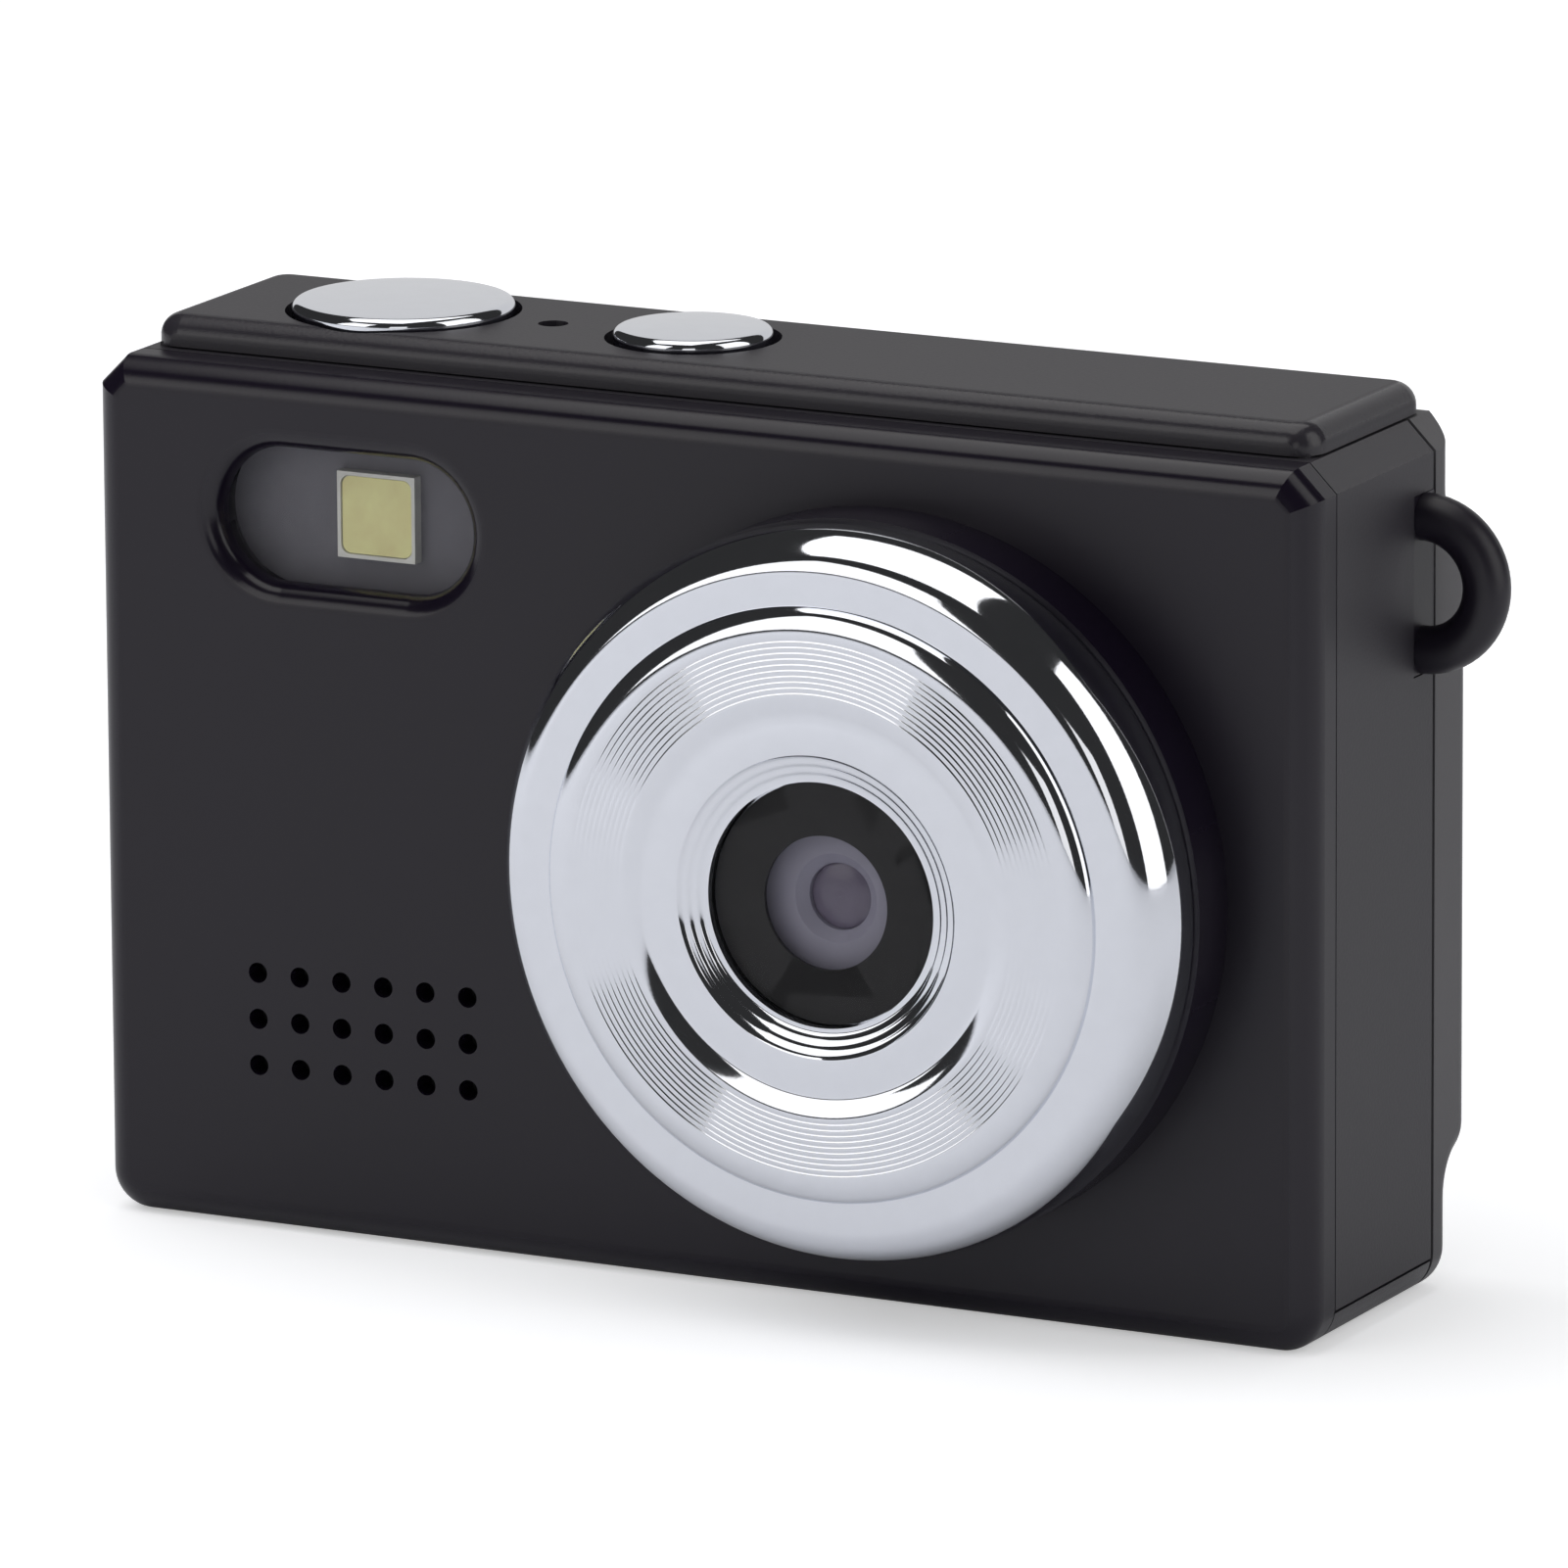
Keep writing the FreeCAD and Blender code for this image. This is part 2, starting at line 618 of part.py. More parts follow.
def rear_cover():
    """Rear shell: rim, raised pad, display window recess, key holes, sleeves for the case screws."""
    solid = rear_side_profile(-half_width, half_width).common(body_block(rear_seam_y, pad_y + 1, 0))
    rounded = [e for e in solid.Edges if outer_rear_edge(e)]
    solid = solid.makeFillet(rear_edge_radius, rounded)
    solid = remove(solid, [body_block(rear_seam_y - 1, rim_inner_y, side_wall)])
    lip = body_block(rear_seam_y - rear_seam_gap - lip_depth, rim_inner_y + 0.2, side_wall + lip_clearance)
    lip = remove(lip, [body_block(rear_seam_y - 3, rim_inner_y + 0.3, side_wall + lip_clearance + lip_wall)])
    lug_gap = box(
        half_width - side_wall - 2,
        half_width - side_wall + 0.5,
        rear_seam_y - 3,
        rear_seam_y + 0.1,
        strap_z - strap_base_height / 2 - strap_flange_reach - 0.3,
        strap_z + strap_base_height / 2 + strap_flange_reach + 0.3,
    )
    lip = remove(lip, [lug_gap])
    keys_low, keys_high = key_low_z - 4.6, key_low_z + 3 * key_pitch + 4.2
    key_pocket = box(key_x - 5.6, key_x + 7.4, rear_seam_y, pad_inner_y, keys_low, keys_high)
    panel_pocket = centred_box(
        display_x,
        display_z,
        panel_width + 2 * panel_clearance,
        panel_height + 2 * panel_clearance,
        rear_seam_y,
        panel_back_y + 0.05,
    )
    solid = remove(join([solid, lip]), [key_pocket, panel_pocket])
    sleeves = [
        rod_y(x, z, case_boss_radius, case_joint_y + 0.1, rim_inner_y + 0.2) for x, z in case_screw_places
    ]
    posts = [rod_y(x, z, small_boss_radius, key_switch_back_y - key_switch_height, pad_inner_y + 0.2)
             for x, z in key_post_places]
    posts += [rod_y(x, z, small_boss_radius, panel_y, rim_inner_y + 0.2) for x, z in bracket_screw_places]
    solid = join([solid] + sleeves + posts)
    recess_grow = 2 * rear_window_clearance
    cuts = [
        rounded_box_y(
            display_x,
            display_z,
            window_width + recess_grow,
            window_height + recess_grow,
            window_corner_radius,
            pad_y - rear_window_thickness,
            pad_y + 1,
        ),
        centred_box(display_x, display_z, view_width, view_height, panel_back_y, pad_y),
        rod_y(status_x, status_z, status_radius + status_clearance, pad_inner_y - 0.1, pad_y + 0.1),
    ]
    cuts += [rod_y(key_x, z, key_radius + key_hole_clearance, pad_inner_y - 0.1, pad_y + 0.1)
             for z in key_places.values()]
    for x, z in case_screw_places:
        cuts.append(rod_y(x, z, case_screw_radius + hole_clearance, case_joint_y, pad_y))
        cuts.append(rod_y(x, z, case_screw_head_radius + 0.2, case_screw_seat_y, pad_y))
    small_hole = small_screw_radius + screw_clearance
    for x, z in key_post_places:
        cuts.append(rod_y(x, z, small_hole, key_board_back_y - 0.1, key_board_back_y + small_screw_bite + 0.3))
    for x, z in bracket_screw_places:
        cuts.append(rod_y(x, z, small_hole, panel_y - 0.1, rim_inner_y + 0.6))
    return remove(solid, cuts)


def outer_rear_edge(edge):
    """True for the edges of the rear cover's side view, on its left and right sides, and its lower edge."""
    b = edge.BoundBox
    on_side = abs(abs(b.XMin) - half_width) < 1e-4 and abs(b.XMax - b.XMin) < 1e-4
    behind = b.YMin > rim_y - 1e-4
    low = behind and b.ZMax < bottom_corner_radius + 1e-4
    return (on_side and behind) or low


# ---- lens group ---------------------------------------------------------------------------------
def ring_front_points():
    """Front profile of the trim ring, from its outer foot to the glass, as (radius, height) points."""
    points = [(ring_foot_radius, collar_height)]
    undercut = ring_bulge_height - collar_height
    for i in range(1, 4):
        t = i / 3 * pi / 2
        reach = ring_foot_radius + (ring_radius - ring_foot_radius) * sin(t)
        points.append((reach, ring_bulge_height - undercut * cos(t)))
    drop = ring_shoulder_height - ring_bulge_height
    step_in = ring_radius - ring_shoulder_radius
    for i in range(1, 9):
        t = i / 8 * pi / 2
        points.append((ring_radius - step_in * (1 - cos(t)), ring_bulge_height + drop * sin(t)))
    points.append((ring_slope_outer_radius, ring_slope_foot_height))
    run = ring_slope_outer_radius - ring_ribs_outer_radius
    rise = ring_crown_height - ring_slope_foot_height
    for i in range(1, 5):
        t = i / 4 * pi / 2
        points.append((ring_slope_outer_radius - run * (1 - cos(t)), ring_slope_foot_height + rise * sin(t)))
    pitch = (ring_ribs_outer_radius - ring_ribs_inner_radius) / ring_rib_count
    for i in range(ring_rib_count):
        outer = ring_ribs_outer_radius - i * pitch
        points.append((outer - pitch / 2, ring_crown_height - ring_rib_depth))
        points.append((outer - pitch, ring_crown_height))
    points.append((ring_dish_inner_radius + 0.45, ring_dish_height + 0.03))
    points.append((ring_dish_inner_radius, ring_dish_height))
    points.append((ring_steps_outer_radius + 0.15, ring_dish_height + 0.12))
    step_drop = (ring_dish_height + 0.12 - window_face_height) / ring_step_count
    for i in range(ring_step_count):
        radius = ring_steps_outer_radius - i * ring_step_width
        points.append((radius, ring_dish_height + 0.12 - (i + 0.8) * step_drop))
        points.append((radius - ring_step_width + 0.12, ring_dish_height + 0.12 - (i + 1) * step_drop))
    return points


def lens_trim_ring():
    """Plated trim ring: shell of revolution with a spigot in the collar and a seat for the glass."""
    seat_radius = window_radius + window_seat_clearance
    seat_height = window_face_height - window_thickness - mask_thickness
    front = ring_front_points() + [(seat_radius, window_face_height), (seat_radius, seat_height)]
    spigot_radius = collar_bore_radius - ring_spigot_clearance
    back = [
        (seat_radius - window_seat_width, seat_height),
        (seat_radius - window_seat_width, seat_height - ring_shell * 0.6),
        (ring_ribs_inner_radius, ring_crown_height - ring_shell * 1.5),
        (ring_slope_outer_radius - 0.6, ring_slope_foot_height - ring_shell * 1.2),
        (spigot_radius - ring_shell, collar_height + 1.0),
        (spigot_radius - ring_shell, collar_height - ring_spigot_depth),
        (spigot_radius, collar_height - ring_spigot_depth),
        (spigot_radius, collar_height),
    ]
    return turned(front + back)


def lens_window():
    """Flat cover glass in front of the lens."""
    low = window_face_height - window_thickness
    return turned([(0, low), (window_radius, low), (window_radius, window_face_height), (0, window_face_height)])


def lens_mask():
    """Black ring behind the glass that leaves a clear middle."""
    high = window_face_height - window_thickness
    low = high - mask_thickness
    outer = window_radius - 0.05
    return turned([(mask_hole_radius, low), (outer, low), (outer, high), (mask_hole_radius, high)])


def lens_barrel():
    """Threaded barrel that carries the lens elements."""
    front = barrel_front_height
    back = front - barrel_length
    return turned([
        (objective_radius * 0.8, back),
        (barrel_radius - 0.5, back),
        (barrel_radius - 0.5, front - 3.0),
        (barrel_radius, front - 3.0),
        (barrel_radius, front - 0.3),
        (barrel_radius - 0.3, front),
        (objective_radius + 0.6, front),
        (objective_radius + 0.02, front - objective_seat_depth),
        (objective_radius + 0.02, front - 1.6),
        (objective_radius * 0.8, front - 1.6),
    ])


def objective_lens():
    """Front lens element, seated in the barrel: a plano-convex disc."""
    back = barrel_front_height - 1.6
    rim = barrel_front_height - objective_seat_depth - 0.3
    crown = 0.28
    points = [(0, back), (objective_radius, back), (objective_radius, rim)]
    for i in range(1, 6):
        share = 1 - i / 6
        points.append((objective_radius * share, rim + crown * (1 - share * share)))
    points.append((0, rim + crown))
    return turned(points)


def lens_holder():
    """Square holder that stands on the main board and takes the barrel's thread."""
    front = board_y - holder_length
    block = rounded_box_y(lens_x, lens_z, holder_size, holder_size, 1.0, board_y - holder_flange_thickness, board_y)
    tower = rod_y(lens_x, lens_z, holder_size / 2 - 0.4, front, board_y)
    solid = join([block, tower])
    bore = rod_y(lens_x, lens_z, barrel_radius - 0.5 + thread_clearance, front - 1, board_y - 1.6)
    chamber = centred_box(
        lens_x, lens_z, sensor_size + 0.6, sensor_size + 0.6, board_y - 1.7, board_y + 0.1
    )
    return remove(solid, [bore, chamber])


def image_sensor():
    """Sensor package on the main board, behind the lens."""
    package = centred_box(lens_x, lens_z, sensor_size, sensor_size, board_y - sensor_thickness, board_y)
    cover = centred_box(
        lens_x, lens_z, sensor_size - 1.2, sensor_size - 1.6, board_y - sensor_thickness - 0.15,
        board_y - sensor_thickness
    )
    return join([package, cover])


# ---- flash --------------------------------------------------------------------------------------
def flash_window():
    """Clear window behind the flash opening."""
    grow = 2 * flash_window_flange - 0.1
    y0 = front_y + flash_window_setback
    return slot_y(flash_x, flash_z, flash_length + grow, flash_height + grow, y0, y0 + flash_window_thickness)


def flash_board():
    """Small board in the tunnel's mouth that carries the light, with its header on the main board."""
    grow = 2 * (flash_window_flange - flash_board_clearance)
    back_y = flash_board_y + flash_board_thickness
    board = slot_y(flash_x, flash_z, flash_length + grow, flash_height + grow, flash_board_y, back_y)
    header = centred_box(flash_x, flash_z, flash_header_width, flash_header_height, back_y, board_y)
    return join([board, header])


def flash_led():
    """White light package with a shallow well."""
    x = flash_x + flash_led_shift
    package = centred_box(x, flash_z, flash_led_size, flash_led_size, flash_led_y, flash_board_y)
    well_size = flash_phosphor_size + 2 * flash_phosphor_clearance
    well_floor_y = flash_led_y + flash_phosphor_sunk + flash_phosphor_thickness
    well = rounded_box_y(x, flash_z, well_size, well_size, flash_phosphor_corner, front_y, well_floor_y)
    return remove(package, [well])


def flash_phosphor():
    """Yellow filling of the light package's well."""
    y0 = flash_led_y + flash_phosphor_sunk
    return rounded_box_y(
        flash_x + flash_led_shift, flash_z, flash_phosphor_size, flash_phosphor_size, flash_phosphor_corner,
        y0, y0 + flash_phosphor_thickness
    )


# ---- speaker and microphone ---------------------------------------------------------------------
def speaker_mesh():
    """Thin cloth disc between the grid and the speaker."""
    return rod_y(speaker_x, speaker_z, speaker_radius - 0.2, front_wall_y, front_wall_y + speaker_mesh_thickness)


def speaker():
    """Round speaker: basket, with its magnet at the back."""
    y0 = front_wall_y + speaker_mesh_thickness
    basket = rod_y(speaker_x, speaker_z, speaker_radius, y0, y0 + speaker_thickness * 0.55)
    magnet = rod_y(speaker_x, speaker_z, speaker_radius * 0.6, y0, y0 + speaker_thickness)
    cone = rod_y(speaker_x, speaker_z, speaker_radius - 0.8, y0 - 0.1, y0 + 0.6)
    return remove(join([basket, magnet]), [cone])


def microphone():
    """Round microphone capsule on the switch board."""
    return rod_z(
        microphone_x, button_y, microphone_radius, switch_board_z, switch_board_z + microphone_thickness
    )


def microphone_boot():
    """Rubber tube from the capsule to the deck's hole."""
    z0 = switch_board_z + microphone_thickness
    tube = rod_z(microphone_x, button_y, microphone_hole_radius + boot_wall, z0, deck_inner_z)
    return remove(tube, [rod_z(microphone_x, button_y, microphone_hole_radius, z0 - 0.1, deck_inner_z + 0.1)])


# ---- boards and battery -------------------------------------------------------------------------
def main_board():
    """Main circuit board, notched for the case bosses."""
    edge = half_width - side_wall - board_edge_gap
    low, high = bottom_plate + 0.9, deck_inner_z - 0.8
    board = box(-edge, edge, board_y, board_back_y, low, high)
    cuts = [
        box(sx * edge - board_notch, sx * edge + board_notch, board_y - 1, board_back_y + 1, z - board_notch,
            z + board_notch)
        for sx in (-1, 1)
        for z in (low, high)
    ]
    cuts += [
        rod_y(x, z, small_screw_radius + hole_clearance, board_y - 1, board_back_y + 1)
        for x, z in board_screw_places
    ]
    return remove(board, cuts)


def main_board_chips():
    """Packages on the main board: processor, memory, power parts."""
    places = [
        (-4.0, 22.5, 9.0, 9.0, 1.0),
        (-4.0, 12.0, 6.0, 5.0, 0.8),
        (24.5, 24.0, 6.0, 8.0, 1.0),
        (25.0, 15.5, 3.0, 3.0, 1.4),
        (-4.0, 33.0, 4.0, 4.0, 1.2),
        (-14.5, 27.5, 5.0, 4.0, 1.0),
    ]
    chips = [centred_box(x, z, w, h, board_y - chip_thickness * t, board_y) for x, z, w, h, t in places]
    return Part.makeCompound(chips)


def battery():
    """Flat rechargeable cell with rounded long edges."""
    block = centred_box(battery_x, battery_z, battery_width, battery_height, battery_y, battery_back_y)
    long_edges = [e for e in block.Edges if abs(e.tangentAt(e.FirstParameter).z) > 0.9]
    return block.makeFillet(1.4, long_edges)


def battery_foam():
    """Foam pad that presses the cell against the board."""
    inset = 2 * battery_foam_inset
    return centred_box(
        battery_x, battery_z, battery_width - inset, battery_height - inset, battery_back_y, bracket_y
    )


# ---- display ------------------------------------------------------------------------------------
def display_window():
    """Clear plate over the display, flush with the pad."""
    return rounded_box_y(
        display_x, display_z, window_width, window_height, window_corner_radius - rear_window_clearance,
        pad_y - rear_window_thickness, pad_y
    )


def display_panel():
    """Display panel with its thin metal edge frame."""
    panel = centred_box(display_x, display_z, panel_width, panel_height, panel_y, panel_back_y)
    step = centred_box(display_x, display_z, view_width - 0.4, view_height - 0.4, panel_back_y - 0.1, pad_y)
    return remove(panel, [step])


def display_bracket():
    """Plate that holds the display against the rear cover."""
    plate = centred_box(
        display_x, display_z, bracket_width, bracket_height, bracket_y, bracket_y + bracket_thickness
    )
    holes = [
        rod_y(x, z, small_screw_radius + hole_clearance, bracket_y - 1, panel_y + 1) for x, z in bracket_screw_places
    ]
    return remove(plate, holes)


# ---- buttons and keys ---------------------------------------------------------------------------
def top_button(x, radius):
    """Round plated button: a disc with a rounded edge, a guided stem and a snap collar under the deck."""
    disc = rod_z(x, button_y, radius, button_bottom_z, button_top_z)
    upper = [e for e in disc.Edges if e.BoundBox.ZMin > button_top_z - 1e-4 and e.Closed]
    disc = disc.makeFillet(button_edge_radius, upper)
    stem = rod_z(x, button_y, button_stem_radius, plunger_tip_z, button_bottom_z + 0.1)
    snap = rod_z(x, button_y, button_snap_radius, plunger_tip_z, snap_top_z)
    return join([disc, stem, snap])


def key(z):
    """Round rear key with a flange inside the wall and a stem to its switch."""
    face_y = pad_y + key_proud
    cap = rod_y(key_x, z, key_radius, key_flange_back_y, face_y)
    outer = [e for e in cap.Edges if e.BoundBox.YMin > face_y - 1e-4 and e.Closed]
    cap = cap.makeFillet(key_edge_radius, outer)
    flange = rod_y(key_x, z, key_flange_radius, key_flange_back_y, key_flange_back_y + key_flange_thickness)
    tip_y = key_switch_back_y + key_plunger_length
    stem = rod_y(key_x, z, key_stem_radius, tip_y, key_flange_back_y + 0.1)
    return join([cap, flange, stem])


def top_switch(x):
    """Square push switch on the switch board, with a bore for its plunger."""
    half = switch_size / 2
    body = box(x - half, x + half, button_y - half, button_y + half, switch_board_z, switch_top_z)
    bore_radius = switch_plunger_radius + switch_plunger_clearance
    bottom = switch_top_z - switch_plunger_sunk - button_travel - 0.1
    return remove(body, [rod_z(x, button_y, bore_radius, bottom, switch_top_z + 0.1)])


def top_plunger(x):
    """Plunger of a push switch under a top button."""
    return rod_z(x, button_y, switch_plunger_radius, switch_top_z - switch_plunger_sunk, plunger_tip_z)


def key_switches():
    """The four push switches behind the rear keys."""
    bore_radius = key_plunger_radius + switch_plunger_clearance
    group = []
    for z in key_places.values():
        body = centred_box(key_x, z, key_switch_size, key_switch_size, key_board_back_y, key_switch_back_y)
        bore = rod_y(key_x, z, bore_radius, key_switch_back_y - 0.9, key_switch_back_y + 0.1)
        group.append(remove(body, [bore]))
    return Part.makeCompound(group)


def key_plunger(z):
    """Plunger of the push switch behind a rear key."""
    return rod_y(key_x, z, key_plunger_radius, key_switch_back_y - 0.45, key_switch_back_y + key_plunger_length)


def switch_board():
    """Board under the deck that carries the top switches and the microphone."""
    x0 = switch_board_x - switch_board_width / 2
    y0 = button_y - switch_board_depth / 2
    z0 = switch_board_z - switch_board_thickness
    board = box(x0, x0 + switch_board_width, y0, y0 + switch_board_depth, z0, switch_board_z)
    holes = [rod_z(x, y, small_screw_radius + hole_clearance, z0 - 1, switch_board_z + 1)
             for x, y in switch_post_places]
    return remove(board, holes)


def key_board():
    """Board inside the rear cover that carries the key switches and the status light."""
    y0 = key_board_back_y - key_board_thickness
    board = centred_box(key_board_x, key_board_z, key_board_width, key_board_height, y0, key_board_back_y)
    holes = [rod_y(x, z, small_screw_radius + hole_clearance, y0 - 1, key_board_back_y + 1)
             for x, z in key_post_places]
    return remove(board, holes)


def status_led():
    """Small indicator light on the key board."""
    return centred_box(status_x, status_z, 1.6, 1.0, key_board_back_y, key_board_back_y + status_led_height)


def status_light_pipe():
    """Clear rod from the indicator light to the rear face."""
    start = key_board_back_y + status_led_height + 0.1
    rod = rod_y(status_x, status_z, status_radius, start, pad_y)
    flange = rod_y(status_x, status_z, status_radius + 0.4, pad_inner_y - 0.7, pad_inner_y - 0.05)
    return join([rod, flange])


# ---- sockets and strap lug ----------------------------------------------------------------------
def usb_connector():
    """Charging socket: a thin metal tube with a tongue inside."""
    x0 = -half_width + usb_recess
    x1 = x0 + usb_length
    shell = slot_x(usb_y, usb_z, usb_width, usb_thickness, x0, x1)
    inner = slot_x(usb_y, usb_z, usb_width - 2 * usb_shell, usb_thickness - 2 * usb_shell, x0 - 1, x1 - 1.2)
    tongue_half = usb_width / 2 - 1.2
    half = usb_tongue_thickness / 2
    tongue = box(x0 + 0.6, x1 - 1.1, usb_y - half, usb_y + half, usb_z - tongue_half, usb_z + tongue_half)
    return join([remove(shell, [inner]), tongue])


def card_socket():
    """Memory card socket: a flat metal box with a slot in its outer end."""
    x0 = -half_width + side_wall + 0.05
    x1 = x0 + card_socket_length
    half_z = card_socket_width / 2
    y0 = board_back_y
    body = box(x0, x1, y0, y0 + card_socket_thickness, card_z - half_z, card_z + half_z)
    slot = box(
        x0 - 1,
        x1 - 1.0,
        card_y - card_slot_thickness / 2,
        card_y + card_slot_thickness / 2,
        card_z - card_slot_width / 2,
        card_z + card_slot_width / 2,
    )
    return remove(body, [slot])


def strap_lug():
    """Half-round loop on a base that sits in the frame's notch and is trapped by the rear cover."""
    ring = Part.makeTorus(strap_loop_radius, strap_tube_radius, Vec(half_width, strap_y, strap_z), Vec(0, 1, 0))
    reach = strap_loop_radius + strap_tube_radius + 1
    outside = box(half_width - 0.2, half_width + reach, strap_y - 3, strap_y + 3, strap_z - reach, strap_z + reach)
    loop = ring.common(outside)
    y0, y1 = strap_y - strap_tube_radius, strap_y + strap_tube_radius
    half = strap_base_height / 2
    wall_x = half_width - side_wall
    base = box(wall_x - 0.2, half_width - 0.05, y0, y1, strap_z - half, strap_z + half)
    flange = box(
        wall_x - strap_clearance - strap_flange_thickness,
        wall_x - strap_clearance,
        y0,
        y1,
        strap_z - half - strap_flange_reach,
        strap_z + half + strap_flange_reach,
    )
    return join([loop, base, flange])


# ---- fasteners ----------------------------------------------------------------------------------
def case_screws():
    """Four screws through the rear cover's sleeves into the front cover's bosses."""
    return Part.makeCompound([
        screw(x, z, case_screw_seat_y, case_screw_length, case_screw_radius, case_screw_head_radius,
              case_screw_head_thickness)
        for x, z in case_screw_places
    ])


def flipped_screw(x, z, seat_y, reach):
    """Small screw along +Y: its head stands in front of seat_y and its shank runs backward."""
    made = screw(0, 0, 0, reach, small_screw_radius, small_screw_head_radius, small_screw_head_thickness)
    made.rotate(Vec(0, 0, 0), Vec(0, 0, 1), 180)
    made.translate(Vec(x, seat_y, z))
    return made


def board_screws():
    """Four screws that hold the main board on the front cover's bosses."""
    reach = main_board_thickness + small_screw_bite
    return Part.makeCompound([
        screw(x, z, board_back_y, reach, small_screw_radius, small_screw_head_radius, small_screw_head_thickness)
        for x, z in board_screw_places
    ])


def bracket_screws():
    """Four screws that hold the display bracket on the rear cover."""
    reach = bracket_thickness + rim_inner_y - panel_y + 0.4
    return Part.makeCompound([flipped_screw(x, z, bracket_y, reach) for x, z in bracket_screw_places])


def key_board_screws():
    """Two screws that hold the key board on the rear cover's posts."""
    seat = key_board_back_y - key_board_thickness
    reach = key_board_thickness + small_screw_bite
    return Part.makeCompound([flipped_screw(x, z, seat, reach) for x, z in key_post_places])


def switch_board_screws():
    """Two screws that hold the switch board under the deck's posts."""
    group = []
    reach = switch_board_thickness + small_screw_bite
    for x, y in switch_post_places:
        made = screw(0, 0, 0, reach, small_screw_radius, small_screw_head_radius, small_screw_head_thickness)
        made.rotate(Vec(0, 0, 0), Vec(1, 0, 0), -90)
        made.translate(Vec(x, y, switch_board_z - switch_board_thickness))
        group.append(made)
    return Part.makeCompound(group)


def all_pieces():
    """Every node's name with its shape."""
    pieces = {
        "front_cover": front_cover(),
        "mid_frame": mid_frame(),
        "bottom_cover": bottom_cover(),
        "top_cover": top_cover(),
        "rear_cover": rear_cover(),
        "lens_trim_ring": lens_trim_ring(),
        "lens_window": lens_window(),
        "lens_mask": lens_mask(),
        "lens_barrel": lens_barrel(),
        "objective_lens": objective_lens(),
        "lens_holder": lens_holder(),
        "image_sensor": image_sensor(),
        "flash_window": flash_window(),
        "flash_board": flash_board(),
        "flash_led": flash_led(),
        "flash_phosphor": flash_phosphor(),
        "speaker_mesh": speaker_mesh(),
        "speaker": speaker(),
        "microphone": microphone(),
        "microphone_boot": microphone_boot(),
        "main_board": main_board(),
        "main_board_chips": main_board_chips(),
        "battery": battery(),
        "battery_foam": battery_foam(),
        "display_window": display_window(),
        "display_panel": display_panel(),
        "display_bracket": display_bracket(),
        "shutter_button": top_button(shutter_x, shutter_radius),
        "mode_button": top_button(mode_x, mode_radius),
        "shutter_switch": top_switch(shutter_x),
        "mode_switch": top_switch(mode_x),
        "shutter_switch_plunger": top_plunger(shutter_x),
        "mode_switch_plunger": top_plunger(mode_x),
        "switch_board": switch_board(),
        "key_board": key_board(),
        "key_switches": key_switches(),
        "status_led": status_led(),
        "status_light_pipe": status_light_pipe(),
        "usb_connector": usb_connector(),
        "card_socket": card_socket(),
        "strap_lug": strap_lug(),
        "case_screws": case_screws(),
        "board_screws": board_screws(),
        "bracket_screws": bracket_screws(),
        "key_board_screws": key_board_screws(),
        "switch_board_screws": switch_board_screws(),
    }
    for name, z in key_places.items():
        pieces[name + "_key"] = key(z)
        pieces[name + "_switch_plunger"] = key_plunger(z)
    return pieces


os.makedirs("parts", exist_ok=True)
for node, shape in all_pieces().items():
    shape.exportStep("parts/" + node + ".step")
    print(node, len(shape.Solids), round(shape.Volume, 2), shape.isValid())
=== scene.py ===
"""Finishes and studio set for a compact digital camera, laid out as a Blender add-on.

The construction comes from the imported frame. The trim ring and the two top buttons are made here as
smooth turned surfaces, and every other piece keeps its own mesh and gets a procedural material.
"""
from math import cos, pi, radians, sin

import bmesh
import bpy
import numpy as np
from bpy.props import FloatProperty, FloatVectorProperty, IntProperty, PointerProperty
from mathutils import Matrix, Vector


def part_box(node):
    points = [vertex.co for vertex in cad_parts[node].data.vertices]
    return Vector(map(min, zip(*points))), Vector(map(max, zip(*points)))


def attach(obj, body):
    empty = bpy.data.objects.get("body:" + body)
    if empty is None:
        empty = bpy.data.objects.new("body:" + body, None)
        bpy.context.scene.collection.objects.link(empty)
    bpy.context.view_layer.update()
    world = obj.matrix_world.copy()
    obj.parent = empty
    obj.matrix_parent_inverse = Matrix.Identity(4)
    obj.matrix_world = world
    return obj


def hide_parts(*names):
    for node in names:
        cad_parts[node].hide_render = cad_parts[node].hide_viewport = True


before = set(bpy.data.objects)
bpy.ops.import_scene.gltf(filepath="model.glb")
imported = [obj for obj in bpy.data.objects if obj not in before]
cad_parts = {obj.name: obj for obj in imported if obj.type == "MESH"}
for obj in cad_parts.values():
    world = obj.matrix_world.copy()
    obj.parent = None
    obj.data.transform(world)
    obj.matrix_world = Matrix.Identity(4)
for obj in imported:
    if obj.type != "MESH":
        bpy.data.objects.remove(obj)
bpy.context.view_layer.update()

bl_info = {
    "name": "Compact Camera Finishes",
    "version": (1, 0, 0),
    "blender": (4, 5, 0),
    "location": "3D View > Sidebar > Camera",
    "description": "Plated ring and buttons, materials and studio for a compact digital camera",
    "category": "Object",
}

MM = 0.001
BODY = "camera_body"
FULL_TURN = 2 * pi
CREASE_ANGLE = 38            # degrees; sharper edges of a turned piece stay crisp

# Glowing cards: corners and facing are (azimuth, elevation) in degrees, then the strength.
CARD_DISTANCE = 0.6
LIGHT_CARDS = {
    "overhead_card": (((-47.7, 53.4), (23.4, 61.4), (162.8, 53.8), (-141.8, 48.3)), (0, 89.9), 1.5),
    "right_card": (((70, 53), (72, 0.5), (115, 0.5), (118, 53)), (92, 5), 1.4),
    "front_card": (((-45, 5), (-13, 5), (-5, 40), (-34, 42)), (-25, 20), 1.4),
    "low_card": (((11, 1), (30, 1), (30, 20), (13, 18)), (20, 8), 1.0),
}


